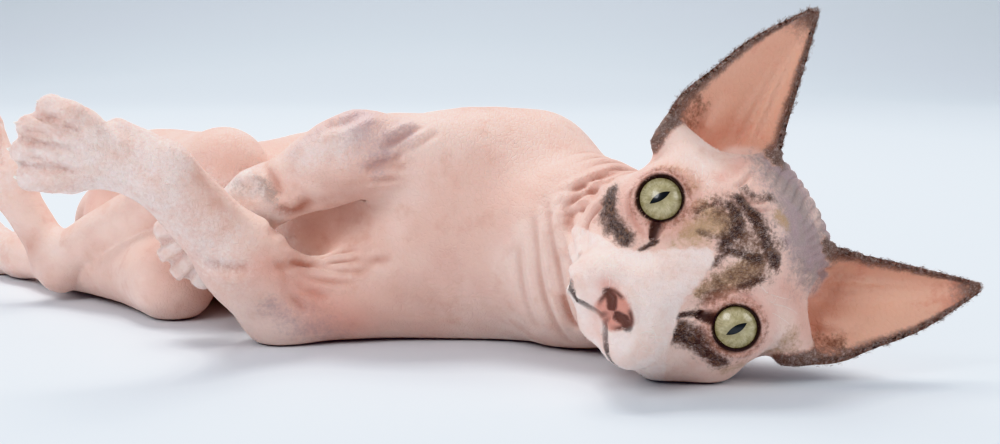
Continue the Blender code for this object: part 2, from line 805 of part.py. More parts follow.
def eye_place(side):
    """Where an eye is, as a matrix that turns +Z to the way it looks."""
    turn = Vector((0, 0, 1)).rotation_difference(Vector(eye_axis(side))).to_matrix().to_4x4()
    return Matrix.Translation(Vector(head_point(side * EYE_SIDE, 0, 0)) * MM) @ turn


def eyeball(side):
    """An eyeball with its clear front raised a little."""
    bm = bmesh.new()
    bmesh.ops.create_uvsphere(bm, u_segments=24, v_segments=15, radius=EYE_RADIUS * MM)
    for v in bm.verts:
        rise = max(0.0, v.co.z / (EYE_RADIUS * MM) - CORNEA_EDGE)
        v.co *= 1 + CORNEA_RISE * rise
    bm.transform(eye_place(side))
    mesh = bpy.data.meshes.new("eye")
    bm.to_mesh(mesh)
    bm.free()
    return mesh


def material(name, colour, roughness):
    """A plain surface finish."""
    made = bpy.data.materials.new(name)
    made.use_nodes = True
    shader = made.node_tree.nodes["Principled BSDF"]
    shader.inputs["Base Color"].default_value = (*colour, 1)
    shader.inputs["Roughness"].default_value = roughness
    shader.inputs["Metallic"].default_value = 0.0
    return made


def finish(obj, surface):
    """Gives an object its surface and smooth shading."""
    obj.data.materials.clear()
    obj.data.materials.append(surface)
    obj.data.shade_smooth()
    obj.data.set_sharp_from_angle(angle=math.radians(50))


def main():
    """Builds the animal."""
    for obj in list(bpy.data.objects):
        bpy.data.objects.remove(obj)
    flesh = first_mesh()
    relaxed(flesh, 3)
    largest_only(flesh)
    place(flesh.data, drawn_to_surface(coordinates(flesh.data)))
    refined(flesh)
    place(flesh.data, drawn_to_surface(coordinates(flesh.data), passes=2))
    thin_out(flesh)
    skin = material("skin", SKIN, 0.55)
    ear_skin = material("ear skin", EAR_SKIN, 0.5)
    iris = material("iris", IRIS, 0.1)
    pieces = {name: add_object(name, mesh) for name, mesh in parted(flesh).items()}
    part_thigh(pieces, "right_hindleg", HIP_R, KNEE_R, THIGH_OUT_R)
    part_thigh(pieces, "left_hindleg", HIP_L, KNEE_L, THIGH_OUT_L)
    for side in (1, -1):
        cut(pieces["head"], socket_ball(side))
    largest_body(pieces["head"])
    for obj in pieces.values():
        finish(obj, skin)
    for side, name in ((1, "right"), (-1, "left")):
        ear = add_object(f"{name}_ear", ear_mesh(side))
        cut(ear, head_swollen(pieces["head"].data))
        largest_body(ear)
        finish(ear, ear_skin)
        finish(add_object(f"{name}_eye", eyeball(side)), iris)


main()
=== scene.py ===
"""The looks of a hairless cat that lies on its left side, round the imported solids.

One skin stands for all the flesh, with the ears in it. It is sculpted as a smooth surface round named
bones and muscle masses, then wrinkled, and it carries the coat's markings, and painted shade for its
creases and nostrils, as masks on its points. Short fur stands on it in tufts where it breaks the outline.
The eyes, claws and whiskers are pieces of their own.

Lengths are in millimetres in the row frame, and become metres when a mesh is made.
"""

import logging
import math
from collections.abc import Callable, Sequence
from dataclasses import dataclass, field
from enum import Enum

import bmesh
import bpy
import numpy as np
from mathutils import Matrix, Vector
from mathutils.bvhtree import BVHTree

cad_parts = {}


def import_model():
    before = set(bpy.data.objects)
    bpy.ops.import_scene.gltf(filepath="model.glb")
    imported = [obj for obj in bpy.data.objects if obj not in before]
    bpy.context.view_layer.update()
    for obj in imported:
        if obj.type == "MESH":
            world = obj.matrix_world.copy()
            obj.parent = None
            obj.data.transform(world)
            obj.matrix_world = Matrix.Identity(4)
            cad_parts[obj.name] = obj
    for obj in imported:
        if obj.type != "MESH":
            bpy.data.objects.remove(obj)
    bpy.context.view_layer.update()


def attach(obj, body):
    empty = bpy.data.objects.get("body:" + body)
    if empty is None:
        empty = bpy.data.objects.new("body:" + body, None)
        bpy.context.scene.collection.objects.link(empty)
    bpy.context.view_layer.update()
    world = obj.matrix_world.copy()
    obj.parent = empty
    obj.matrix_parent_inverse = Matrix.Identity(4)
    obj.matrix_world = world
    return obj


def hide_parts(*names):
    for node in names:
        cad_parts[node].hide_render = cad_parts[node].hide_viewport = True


log = logging.getLogger("sphynx")

Point = tuple[float, float, float]
Masks = dict[str, np.ndarray]
Colour = tuple[float, ...]
Socket = bpy.types.NodeSocket

MM = 0.001
BODY = "root"


class Side(Enum):
    """A side of the head, with the sign of its own x axis."""

    RIGHT = 1
    LEFT = -1

    @property
    def word(self) -> str:
        """The side's name, as the nodes use it."""
        return self.name.lower()


def unit(v: Sequence[float]) -> np.ndarray:
    """A vector of length one along v."""
    v = np.asarray(v, float)
    return v / np.linalg.norm(v)


def between(a: Sequence[float], b: Sequence[float], share: float) -> np.ndarray:
    """The point that far along from a to b."""
    return np.asarray(a, float) * (1 - share) + np.asarray(b, float) * share


def smooth(low: float, high: float, value: np.ndarray) -> np.ndarray:
    """A soft step from 0 at low to 1 at high."""
    t = np.clip((value - low) / (high - low), 0, 1)
    return t * t * (3 - 2 * t)


def srgb(red: float, green: float, blue: float) -> tuple[float, float, float, float]:
    """A colour given as 0 to 255 on a screen, as Blender's linear colour."""
    def linear(c: float) -> float:
        """One channel of the colour."""
        c /= 255
        return c / 12.92 if c <= 0.04045 else ((c + 0.055) / 1.055) ** 2.4
    return (linear(red), linear(green), linear(blue), 1.0)


@dataclass(frozen=True)
class HeadFrame:
    """The head's own axes: x to the animal's right, y out of the face, z up through the crown."""

    at: Point = (61.9, -83.4, 38.2)
    right: Point = (-0.498, 0.182, 0.848)
    forward: Point = (-0.101, -0.983, 0.151)
    up: Point = (0.861, -0.010, 0.508)

    @property
    def axes(self) -> np.ndarray:
        """The three axes as rows."""
        return np.array([self.right, self.forward, self.up])

    def point(self, x: float, y: float, z: float) -> np.ndarray:
        """The row frame's place of a point in the head's frame."""
        return np.array(self.at) + np.array([x, y, z], float) @ self.axes

    def local(self, p: np.ndarray) -> np.ndarray:
        """Points of the row frame in the head's frame."""
        return (p - np.array(self.at)) @ self.axes.T


HEAD = HeadFrame()


@dataclass(frozen=True)
class Rod:
    """A tapered rod with round ends. It may be flat: squeeze is its size along across, as a share."""

    a: Sequence[float]
    b: Sequence[float]
    ra: float
    rb: float
    across: Sequence[float] | None = None
    squeeze: float = 1.0
    soft: float = 6.0

    def flattened(self, p: np.ndarray) -> np.ndarray:
        """Points stretched along the thin direction, so that the flat rod becomes round."""
        way = unit(self.across)
        return p + ((p - np.asarray(self.a, float)) @ way)[:, None] * way * (1 / self.squeeze - 1)

    def distance(self, p: np.ndarray) -> np.ndarray:
        """How far each point is outside the rod."""
        a, b = np.asarray(self.a, float), np.asarray(self.b, float)
        if self.across is not None:
            p, b = self.flattened(p), self.flattened(b[None])[0]
        along = b - a
        t = np.clip(((p - a) @ along) / max(float(along @ along), 1e-9), 0, 1)
        gap = np.linalg.norm(p - a - t[:, None] * along, axis=1)
        return (gap - (self.ra + t * (self.rb - self.ra))) * min(1.0, self.squeeze)

    def hull(self) -> list[np.ndarray]:
        """Corner points whose convex hull is the rod."""
        found = []
        for centre, radius in ((self.a, self.ra), (self.b, self.rb)):
            for step in BALL:
                offset = step * radius
                if self.across is not None:
                    way = unit(self.across)
                    offset = offset + way * (offset @ way) * (self.squeeze - 1)
                found.append(np.asarray(centre, float) + offset)
        return found


@dataclass(frozen=True)
class Egg:
    """An ellipsoid with three half sizes along the axes of its frame."""

    centre: Sequence[float]
    radii: Point
    axes: np.ndarray
    soft: float = 6.0

    def distance(self, p: np.ndarray) -> np.ndarray:
        """About how far each point is outside the egg."""
        q = (p - self.centre) @ self.axes.T
        near = np.linalg.norm(q / self.radii, axis=1)
        slope = np.linalg.norm(q / np.square(self.radii), axis=1)
        return near * (near - 1) / np.maximum(slope, 1e-6)

    def hull(self) -> list[np.ndarray]:
        """Corner points whose convex hull is the egg."""
        return [self.centre + (step * self.radii) @ self.axes for step in BALL]


def ball_steps(rings: int = 9, sides: int = 14) -> list[np.ndarray]:
    """Directions spread over a ball, in rings from pole to pole.

    Args:
        rings: how many steps there are from pole to pole.
        sides: how many directions each ring has.

    Returns:
        The directions, each of length one.
    """
    found = [np.array([0.0, 0.0, 1.0]), np.array([0.0, 0.0, -1.0])]
    for i in range(1, rings):
        polar = math.pi * i / rings
        for k in range(sides):
            turn = 2 * math.pi * (k + 0.5 * (i % 2)) / sides
            ring = math.sin(polar)
            found.append(np.array([ring * math.cos(turn), ring * math.sin(turn), math.cos(polar)]))
    return found


BALL = ball_steps()
Mass = Rod | Egg


def blended(first: np.ndarray, second: np.ndarray, soft: np.ndarray | float) -> np.ndarray:
    """The union of two distances, with a fillet as wide as soft."""
    reach = np.maximum(soft - np.abs(first - second), 0) / np.maximum(soft, 1e-6)
    return np.minimum(first, second) - reach * reach * soft / 4


def carved(body: np.ndarray, hollow: np.ndarray, soft: float) -> np.ndarray:
    """A body's distance where a hollow is cut from it, with its edge rounded."""
    return -blended(-body, hollow, soft)


@dataclass
class Group:
    """Masses that blend with one another, with the box round them for speed."""

    masses: list[Mass]
    far: float = 30.0
    low: np.ndarray = field(init=False)
    high: np.ndarray = field(init=False)

    def __post_init__(self) -> None:
        """Finds the box."""
        corners = np.array([c for m in self.masses for c in m.hull()])
        self.low, self.high = corners.min(0), corners.max(0)

    def distance(self, p: np.ndarray) -> np.ndarray:
        """The blended distance; well away from the group it is only a lower bound."""
        outside = np.maximum(np.maximum(self.low - p, p - self.high), 0)
        total = np.linalg.norm(outside, axis=1)
        near = total < self.far
        if near.any():
            part = self.masses[0].distance(p[near])
            for mass in self.masses[1:]:
                part = blended(part, mass.distance(p[near]), mass.soft)
            total[near] = part
        return total


@dataclass(frozen=True)
class Limb:
    """A limb's masses, the place where it joins the trunk, and how far and softly it joins it."""

    group: Group
    root: Point
    reach: float
    soft: float

    def joined(self, body: np.ndarray, p: np.ndarray) -> np.ndarray:
        """The body's distance with the limb blended on, softly only near its root."""
        near = 1 - np.linalg.norm(p - np.array(self.root, float), axis=1) / self.reach
        return blended(body, self.group.distance(p), self.soft * np.clip(near * 2.5, 0.02, 1))


@dataclass
class Paw:
    """A paw: the palm, four toes with their pads, and sometimes a dew claw."""

    wrist: Sequence[float]
    toes: Sequence[float]
    dorsal: Point  # the way its back faces
    breadth: float  # half its width over the toes
    thumb: int = 0  # the side that the dew claw is on, or 0
    spread: tuple[float, ...] = (-0.75, -0.26, 0.26, 0.75)
    reach: tuple[float, ...] = (0.92, 1.0, 1.0, 0.90)

    def __post_init__(self) -> None:
        """Works out the paw's own axes."""
        self.start, self.end = np.array(self.wrist, float), np.array(self.toes, float)
        self.along = unit(self.end - self.start)
        back = np.array(self.dorsal, float)
        self.back = unit(back - self.along * float(back @ self.along))
        self.side = np.cross(self.along, self.back) * (self.thumb or 1)
        self.length = float(np.linalg.norm(self.end - self.start))
        self.knuckle = self.start + self.along * self.length * 0.58

    def toe(self, index: int) -> tuple[np.ndarray, np.ndarray, np.ndarray]:
        """One toe's root, middle joint and tip."""
        place, reach = self.spread[index], self.reach[index]
        root = self.knuckle + self.side * place * self.breadth * 0.78
        tip = self.start + self.along * (self.length * reach - 5.0) + self.side * place * self.breadth * 1.02
        return root, (root + tip) / 2 + self.back * 2.4, tip

    def masses(self) -> list[Mass]:
        """The paw's masses, in the order in which they are blended."""
        across = self.back
        middle = self.side * self.breadth * 0.35
        pad = self.knuckle - self.back * 5
        found: list[Mass] = [
            Rod(self.start, self.knuckle, 9.5, 10.5, across, 0.82, 6),
            Rod(self.knuckle - middle, self.knuckle + middle, 8, 8, across, 0.85, 5),
            Rod(pad - self.side * 4, pad + self.side * 4, 5.5, 5.5, soft=4),
        ]
        for index in range(len(self.spread)):
            root, joint, tip = self.toe(index)
            found.append(Rod(root, joint, 5.0, 4.9, soft=2.6))
            found.append(Rod(joint, tip, 4.9, 4.7, soft=2.2))
            under = tip - self.back * 2.2 - self.along * 1.5
            found.append(Rod(under, tip - self.back * 2.4, 3.4, 3.4, soft=2))
        if self.thumb:
            base = self.start + self.along * self.length * 0.16 + self.side * 8.0 - self.back
            end = base + self.along * 8.0 + self.side * 2.5 - self.back * 1.5
            found.append(Rod(base, end, 4.4, 3.6, soft=3.5))
        return found


@dataclass
class Anatomy:
    """The joints, sizes and masses of the whole animal."""

    eye_side: float = 21.5
    eye_radius: float = 10.8
    eye_turn: float = math.radians(10)
    lid_radius: float = 8.5  # of the bowl that opens the lids
    lid_thick: float = 1.9
    neck_base: Point = (30, -20, 32)
    neck_top: Point = (54, -50, 30)
    torso: tuple[tuple[Point, float, float], ...] = (  # centre, half width, half depth
        ((24, -10, 31), 31, 31),
        ((-8, 20, 36), 38.5, 43),
        ((-39, 45, 34.5), 37.5, 44),
        ((-70, 70, 30), 32.5, 40),
        ((-101, 95, 26.5), 28.5, 35),
        ((-132, 120, 25.5), 28, 33),
        ((-156, 142, 21.5), 22, 26),
    )
    shoulder_r: Point = (14, 8, 60)
    elbow_r: Point = (-49, -13, 66)
    wrist_r: Point = (-84, -5, 49)
    toes_r: Point = (-119, -1, 24)
    shoulder_l: Point = (4, 4, 18)
    elbow_l: Point = (-76, -14, 13.5)
    wrist_l: Point = (-111, -53, 63.5)
    toes_l: Point = (-154, -72, 77)
    hip_r: Point = (-140, 114, 38)
    knee_r: Point = (-103, 38, 54)
    hock_r: Point = (-175, 74, 15)
    hindtoes_r: Point = (-216, 92, 77)
    hip_l: Point = (-140, 116, 20)
    knee_l: Point = (-122, 34, 15)
    hock_l: Point = (-180, 100, 10)
    hindtoes_l: Point = (-224, 152, 9)
    tail: tuple[Point, ...] = (
        (-160, 146, 22), (-176, 166, 15), (-174, 190, 9), (-150, 210, 7), (-112, 220, 6),
        (-72, 214, 5), (-40, 196, 4), (-18, 172, 3),
    )
    tail_radii: tuple[float, ...] = (11, 8.5, 7, 6.2, 5.4, 4.6, 3.8, 3.0)

    def __post_init__(self) -> None:
        """Makes the paws and the groups of masses."""
        self.paws = {
            "right_fore": Paw(self.wrist_r, self.toes_r, (0.2, -0.96, 0.18), 14, -1),
            "left_fore": Paw(self.wrist_l, self.toes_l, (0.49, -0.87, 0.0), 15, 1),
            "right_hind": self.hindpaw(self.hock_r, self.hindtoes_r, (0.78, -0.1, 0.62)),
            "left_hind": self.hindpaw(self.hock_l, self.hindtoes_l, (0.7, 0.5, 0.5)),
        }
        self.trunk = Group(self.torso_masses())
        self.neck = Group([Rod(self.neck_base, self.neck_top, 30, 27, HEAD.right, 0.95, 16)])
        self.head = Group(self.head_masses())
        self.limbs = self.limb_groups()

    @staticmethod
    def hindpaw(hock: Point, toes: Point, dorsal: Point) -> Paw:
        """The front half of a long hind foot."""
        return Paw(between(hock, toes, 0.48), toes, dorsal, 13)

    def torso_masses(self) -> list[Mass]:
        """The trunk, as overlapping flat rods from station to station."""
        found: list[Mass] = []
        for (a, wide_a, deep_a), (b, wide_b, deep_b) in zip(self.torso, self.torso[1:]):
            ratio = (wide_a + wide_b) / (deep_a + deep_b)
            found.append(Rod(a, b, deep_a, deep_b, (0, 0, 1), ratio, 14))
        return found

    @staticmethod
    def foreleg(shoulder: Point, elbow: Point, wrist: Point, stout: float) -> list[Mass]:
        """The upper arm over the ribs, the elbow and the forearm.

        Args:
            shoulder: where the upper arm starts.
            elbow: the middle of the elbow.
            wrist: where the paw starts.
            stout: the elbow's radius.

        Returns:
            The masses in blending order.
        """
        return [
            Rod(shoulder, elbow, 18, stout, soft=12),
            Rod(elbow, between(elbow, wrist, 0.35), stout - 0.3, stout - 1.0, soft=9),
            Rod(between(elbow, wrist, 0.3), wrist, stout - 0.9, 10.6, soft=9),
        ]

    @staticmethod
    def hindleg(hip: Point, knee: Point, hock: Point, toes: Point, thigh: float) -> list[Mass]:
        """The thigh, the knee, the shin, the hock and the long foot up to its toes.

        Args:
            hip: where the thigh starts.
            knee: the middle of the knee.
            hock: the middle of the hock.
            toes: the tips of the toes.
            thigh: the thigh's radius at the hip.

        Returns:
            The masses in blending order.
        """
        heel = np.array(hock, float) - unit(np.subtract(toes, hock)) * 5
        return [
            Rod(hip, knee, thigh, 15.5, soft=14),
            Rod(knee, hock, 14.5, 9.0, soft=9),
            Rod(heel, between(hock, toes, 0.5), 8.6, 8.4, soft=6),
        ]

    def limb_groups(self) -> list[Limb]:
        """The four legs and the tail."""
        right = self.foreleg(self.shoulder_r, self.elbow_r, self.wrist_r, 13)
        left = self.foreleg(self.shoulder_l, self.elbow_l, self.wrist_l, 14.5)
        hind_right = self.hindleg(self.hip_r, self.knee_r, self.hock_r, self.hindtoes_r, 25)
        hind_left = self.hindleg(self.hip_l, self.knee_l, self.hock_l, self.hindtoes_l, 23)
        tail: list[Mass] = [
            Rod(a, b, ra, rb, soft=5)
            for a, b, ra, rb in zip(self.tail, self.tail[1:], self.tail_radii, self.tail_radii[1:])
        ]
        return [
            Limb(Group(right + self.paws["right_fore"].masses()), self.shoulder_r, 75, 16),
            Limb(Group(left + self.paws["left_fore"].masses()), self.shoulder_l, 92, 14),
            Limb(Group(hind_right + self.paws["right_hind"].masses()), self.hip_r, 58, 16),
            Limb(Group(hind_left + self.paws["left_hind"].masses()), self.hip_l, 58, 16),
            Limb(Group(tail), self.tail[0], 26, 10),
        ]

    def head_masses(self) -> list[Mass]:
        """The skull, brows, cheeks, muzzle, jaw and nose, in the order in which they are blended."""
        def egg(x: float, y: float, z: float, rx: float, ry: float, rz: float, soft: float) -> Mass:
            """An egg in the head's frame."""
            return Egg(HEAD.point(x, y, z), (rx, ry, rz), HEAD.axes, soft)

        def rod(a: Point, b: Point, ra: float, rb: float, soft: float) -> Mass:
            """A rod in the head's frame."""
            return Rod(HEAD.point(*a), HEAD.point(*b), ra, rb, soft=soft)

        found = [
            egg(0, -24, 12, 29, 33, 27.5, 8),
            rod((-11, -26, 24.5), (11, -26, 24.5), 15, 15, 12),
            egg(0, -3, 13, 19, 17, 19, 12),
            rod((0, 2, 4), (0, 15, -20), 12.5, 10.0, 10),
        ]
        ball = self.eye_radius + self.lid_thick
        for s in (1, -1):
            found += [
                egg(s * 23, -14, -7, 12.8, 21, 15, 10),
                rod((s * 13, 3, 12), (s * 28, -5, 11.5), 7, 7, 8),
                rod((s * 12, 6, -14), (s * 27, -8, -12), 8, 8, 7),
                rod((s * 9, 14, -28), (s * 20, -16, -22), 9, 12, 8),
                egg(s * 8.8, 18.0, -30.3, 10.0, 11.0, 8.4, 5),
                rod((s * 26, -20, 9), (s * 37, -14, 12), 11, 4.2, 10),
                rod((s * 37, -12, 14), (s * 17, -13, 24), 3.6, 4.4, 9),
                egg(s * self.eye_side, 0, 0, ball, ball, ball, 5),
            ]
        found += [
            rod((0, 12.5, -35.0), (0, -6, -31), 6.6, 12, 5),
            egg(0, 24.8, -27.3, 6.4, 5.6, 5.2, 4),
        ]
        return found

    def eye_centre(self, side: Side) -> np.ndarray:
        """The middle of an eyeball."""
        return HEAD.point(side.value * self.eye_side, 0, 0)

    def eye_axes(self, side: Side) -> np.ndarray:
        """An eye's own axes as rows: across, the way it looks, and up."""
        turn = self.eye_turn
        look = np.array([side.value * math.sin(turn), math.cos(turn), 0.0]) @ HEAD.axes
        across = unit(np.cross(look, HEAD.up))
        return np.array([across, look, np.cross(across, look)])


@dataclass
class EarSheet:
    """A cupped ear: a curved sheet between its crown edge and its cheek edge, thick at the root."""

    side: Side
    medial: tuple[Point, ...] = (
        (9, -14, 26), (16.5, -16, 38), (26, -19, 48), (37, -22, 60), (52.5, -25, 76.0)
    )
    lateral: tuple[Point, ...] = (
        (40, -9, 8), (48, -9, 21), (50.5, -12, 34), (53.5, -18, 52), (52.5, -25, 76.0)
    )
    bulge: tuple[float, ...] = (19, 18, 14, 8, 0)  # how far its back stands behind its edges
    back: Point = (-0.15, -1.0, 0.10)
    root_half: float = 1.7
    rim_half: float = 0.85
    tip_share: float = 0.97
    rows: int = 72
    columns: int = 52

    def __post_init__(self) -> None:
        """Lays a fine net over the sheet, for its distance."""
        self.back_way = unit(self.back)
        us = [self.tip_share * i / self.rows for i in range(self.rows + 1)]
        vs = [-1 + 2 * k / self.columns for k in range(self.columns + 1)]
        self.net = np.array([self.world(self.local(u, v)) for u in us for v in vs])
        wide = self.columns + 1
        faces = [
            (i * wide + k, i * wide + k + 1, (i + 1) * wide + k + 1, (i + 1) * wide + k)
            for i in range(self.rows)
            for k in range(self.columns)
        ]
        self.tree = BVHTree.FromPolygons([tuple(p) for p in self.net], faces)
        self.low, self.high = self.net.min(0), self.net.max(0)

    @staticmethod
    def along(stations: Sequence[Point] | Sequence[float], t: float) -> np.ndarray:
        """A smooth value at t from 0 to 1 along evenly spaced stations."""
        table = np.array(stations, float)
        count = len(table) - 1
        at = min(max(t, 0.0), 1.0) * count
        i = min(int(at), count - 1)
        f = at - i
        p0, p1, p2, p3 = (table[min(max(i + k, 0), count)] for k in (-1, 0, 1, 2))
        bend = (2 * p0 - 5 * p1 + 4 * p2 - p3) * f**2 + (3 * p1 - p0 - 3 * p2 + p3) * f**3
        return (2 * p1 + (p2 - p0) * f + bend) / 2

    def local(self, u: float, v: float) -> np.ndarray:
        """The middle of the sheet for the right ear: u from root to tip, v from crown edge to cheek edge."""
        medial, lateral = self.along(self.medial, u), self.along(self.lateral, u)
        share = (v + 1) / 2
        bow = math.cos(v * math.pi / 2) ** 0.8 if abs(v) < 1 else 0.0
        deep = float(self.along(self.bulge, u)) * bow
        fade = math.sin(min(u / 0.8, 1.0) * math.pi)
        crown_ridge = 1.5 * math.exp(-(((v + 0.30) / 0.10) ** 2))
        ridge = fade * (crown_ridge + 0.9 * math.exp(-(((v - 0.05) / 0.09) ** 2)))
        low = max(0.0, 1 - abs(u - 0.22) / 0.24)
        flap = 5.2 * low * math.exp(-(((v - 0.40 - 0.35 * (u - 0.2)) / 0.16) ** 2))
        flap -= 2.4 * low * math.exp(-(((v - 0.74) / 0.14) ** 2))
        return medial * (1 - share) + lateral * share + self.back_way * (deep - ridge - flap)

    def world(self, p: np.ndarray) -> np.ndarray:
        """A point of the right ear's sheet, on this side of the head, in the row frame."""
        return HEAD.point(self.side.value * p[0], p[1], p[2])

    def nearest(self, p: np.ndarray) -> tuple[np.ndarray, np.ndarray]:
        """For each point, how far the sheet's middle is, and the u and v of its nearest place."""
        found = [self.tree.find_nearest(Vector(q)) for q in p]
        hits = np.array([f[0] for f in found]).reshape(-1, 3)
        faces, gaps = np.array([f[2] for f in found], int), np.array([f[3] for f in found])
        row, column = faces // self.columns, faces % self.columns
        start = row * (self.columns + 1) + column
        base = self.net[start]
        shares = []
        for step in (self.columns + 1, 1):
            way = self.net[start + step] - base
            share = np.sum((hits - base) * way, axis=1) / np.maximum(np.sum(way * way, axis=1), 1e-9)
            shares.append(np.clip(share, 0, 1))
        u = (row + shares[0]) * self.tip_share / self.rows
        return gaps, np.stack([u, -1 + 2 * (column + shares[1]) / self.columns], axis=1)

    def distance(self, p: np.ndarray) -> np.ndarray:
        """How far each point is outside the ear; well away from it only a lower bound."""
        outside = np.maximum(np.maximum(self.low - p, p - self.high), 0)
        total = np.linalg.norm(outside, axis=1)
        near = total < 9
        if near.any():
            gaps, uv = self.nearest(p[near])
            flesh = (1 - uv[:, 0]) ** 1.5 * (1 - 0.5 * np.abs(uv[:, 1]))
            total[near] = gaps - (self.rim_half + (self.root_half - self.rim_half) * flesh)
        return total

    def shell(self, bm: bmesh.types.BMesh, half: float = 2.0, rows: int = 30, columns: int = 22) -> None:
        """Adds a thick closed copy of the ear, to remesh with the rest.

        Args:
            bm: the mesh that it is added to.
            half: half its thickness.
            rows: steps from root to tip.
            columns: steps from edge to edge.
        """
        grid: list[list[bmesh.types.BMVert]] = []
        for face in (1, -1):
            for i in range(rows + 1):
                u = self.tip_share * i / rows
                line = []
                for k in range(columns + 1):
                    v = -1 + 2 * k / columns
                    du = self.local(min(u + 0.02, 1), v) - self.local(max(u - 0.02, 0), v)
                    dv = self.local(u, min(v + 0.05, 1)) - self.local(u, max(v - 0.05, -1))
                    normal = unit(np.cross(dv, du)) * half * face
                    line.append(bm.verts.new(self.world(self.local(u, v) + normal) * MM))
                grid.append(line)
        count = rows + 1
        for i in range(rows):
            for k in range(columns):
                bm.faces.new((grid[i][k], grid[i][k + 1], grid[i + 1][k + 1], grid[i + 1][k]))
                low, high = count + i, count + i + 1
                bm.faces.new((grid[high][k], grid[high][k + 1], grid[low][k + 1], grid[low][k]))
        rim = [(0, k) for k in range(columns)] + [(i, columns) for i in range(rows)]
        rim += [(rows, k) for k in range(columns, 0, -1)] + [(i, 0) for i in range(rows, 0, -1)]
        for (i, k), (m, n) in zip(rim, rim[1:] + rim[:1]):
            bm.faces.new((grid[m][n], grid[i][k], grid[count + i][k], grid[count + m][n]))


@dataclass
class Flesh:
    """The smooth surface round all the masses, with the ears, lids, nostrils and mouth."""

    anatomy: Anatomy
    ears: list[EarSheet]

    def __post_init__(self) -> None:
        """Presses the lines of the nostrils and lips onto the head."""
        head = self.anatomy.head.distance
        self.lines = {
            (side, name): self.pressed(head_points(side, places), head, 8)
            for side in Side
            for name, places in FACE_LINES.items()
        }

    def head_distance(self, p: np.ndarray) -> np.ndarray:
        """The head's distance, with its openings and ears."""
        a = self.anatomy
        body = a.head.distance(p)
        near = body < 25
        q, part = p[near], body[near]
        for side in Side:
            s, centre, axes = side.value, a.eye_centre(side), a.eye_axes(side)
            bowl_at = centre + axes[1] * (a.eye_radius + 2.0)
            bowl = Egg(bowl_at, (a.lid_radius + 0.2, 6.5, a.lid_radius - 0.3), axes)
            part = carved(part, bowl.distance(q), 1.0)
            corner = Rod(HEAD.point(s * 16.5, 11.0, -5.0), HEAD.point(s * 12.2, 12.0, -9.5), 2.0, 0.7)
            part = carved(part, corner.distance(q), 1.2)
            for name, (radius, soft) in GROOVES.items():
                part = carved(part, self.chain(q, side, name) - radius, soft)
            hollow = Egg(HEAD.point(s * 33, -18, 32), (10.5, 7.5, 13), HEAD.axes)
            part = carved(part, hollow.distance(q), 5.0)
            canal = Rod(HEAD.point(s * 30, -17, 27), HEAD.point(s * 24, -22, 15), 6.5, 3.0)
            part = carved(part, canal.distance(q), 4.0)
        body[near] = part
        for ear in self.ears:
            body = blended(body, ear.distance(p), 5.0)
        return body

    def chain(self, p: np.ndarray, side: Side, name: str) -> np.ndarray:
        """How far each point is from a line of the face."""
        return line_distance(p, self.lines[side, name])[0]

    def distance(self, p: np.ndarray) -> np.ndarray:
        """How far each point is outside the skin."""
        a = self.anatomy
        body = blended(a.trunk.distance(p), a.neck.distance(p), 22)
        for limb in a.limbs:
            body = limb.joined(body, p)
        return blended(body, self.head_distance(p), 7)

    @staticmethod
    def pressed(
        p: np.ndarray,
        distance: Callable[[np.ndarray], np.ndarray],
        passes: int = 4,
        step: float = 0.05,
        most: float = 2.5,
    ) -> np.ndarray:
        """Points moved along the slope of a distance until they lie on its surface.

        Args:
            p: the points.
            distance: gives how far points are outside the surface.
            passes: how many times they are moved.
            step: the length over which the slope is measured.
            most: the furthest that one pass may move a point.

        Returns:
            The moved points.
        """
        for _ in range(passes):
            here = distance(p)
            slope = np.stack([(distance(p + step * np.eye(3)[k]) - here) / step for k in range(3)], axis=1)
            size = np.maximum(np.linalg.norm(slope, axis=1), 0.3)
            p = p - slope / size[:, None] * np.clip(here / size, -most, most)[:, None]
        return p


FACE_LINES = {  # of the right half of the face, in the head's frame
    "nostril": ((1.9, 31.5, -29.2), (4.0, 30.0, -27.4), (5.4, 27.5, -27.8)),
    "philtrum": ((0, 31.0, -31.0), (0, 30.2, -33.6)),
    "lips": ((0, 30.0, -33.2), (0.6, 28.5, -35.6), (7, 26.0, -37.8), (14.5, 17.0, -35.5), (19.5, 8.0, -30.5)),
}


GROOVES = {"nostril": (1.15, 0.8), "lips": (0.8, 1.4), "philtrum": (0.45, 1.2)}  # radius and softness


def head_points(side: Side, places: Sequence[Point]) -> np.ndarray:
    """Places of the right half of the head, on the given side of it, in the row frame."""
    return np.array([HEAD.point(side.value * x, y, z) for x, y, z in places])


def coordinates(mesh: bpy.types.Mesh) -> np.ndarray:
    """A mesh's points, in millimetres."""
    flat = np.empty(len(mesh.vertices) * 3)
    mesh.vertices.foreach_get("co", flat)
    return flat.reshape(-1, 3) / MM


def normals(mesh: bpy.types.Mesh) -> np.ndarray:
    """The normals at a mesh's points."""
    flat = np.empty(len(mesh.vertices) * 3)
    mesh.vertices.foreach_get("normal", flat)
    return flat.reshape(-1, 3)


def place(mesh: bpy.types.Mesh, points: np.ndarray) -> None:
    """Writes points in millimetres back to a mesh."""
    mesh.vertices.foreach_set("co", (points * MM).astype(np.float32).ravel())
    mesh.update()


def add_object(name: str, mesh: bpy.types.Mesh) -> bpy.types.Object:
    """A new object in the scene."""
    obj = bpy.data.objects.new(name, mesh)
    bpy.context.scene.collection.objects.link(obj)
    return obj


def apply_modifiers(obj: bpy.types.Object) -> None:
    """Makes what the modifiers show the object's own mesh."""
    bpy.context.view_layer.update()
    graph = bpy.context.evaluated_depsgraph_get()
    made = bpy.data.meshes.new_from_object(obj.evaluated_get(graph))
    obj.modifiers.clear()
    old, obj.data = obj.data, made
    bpy.data.meshes.remove(old)


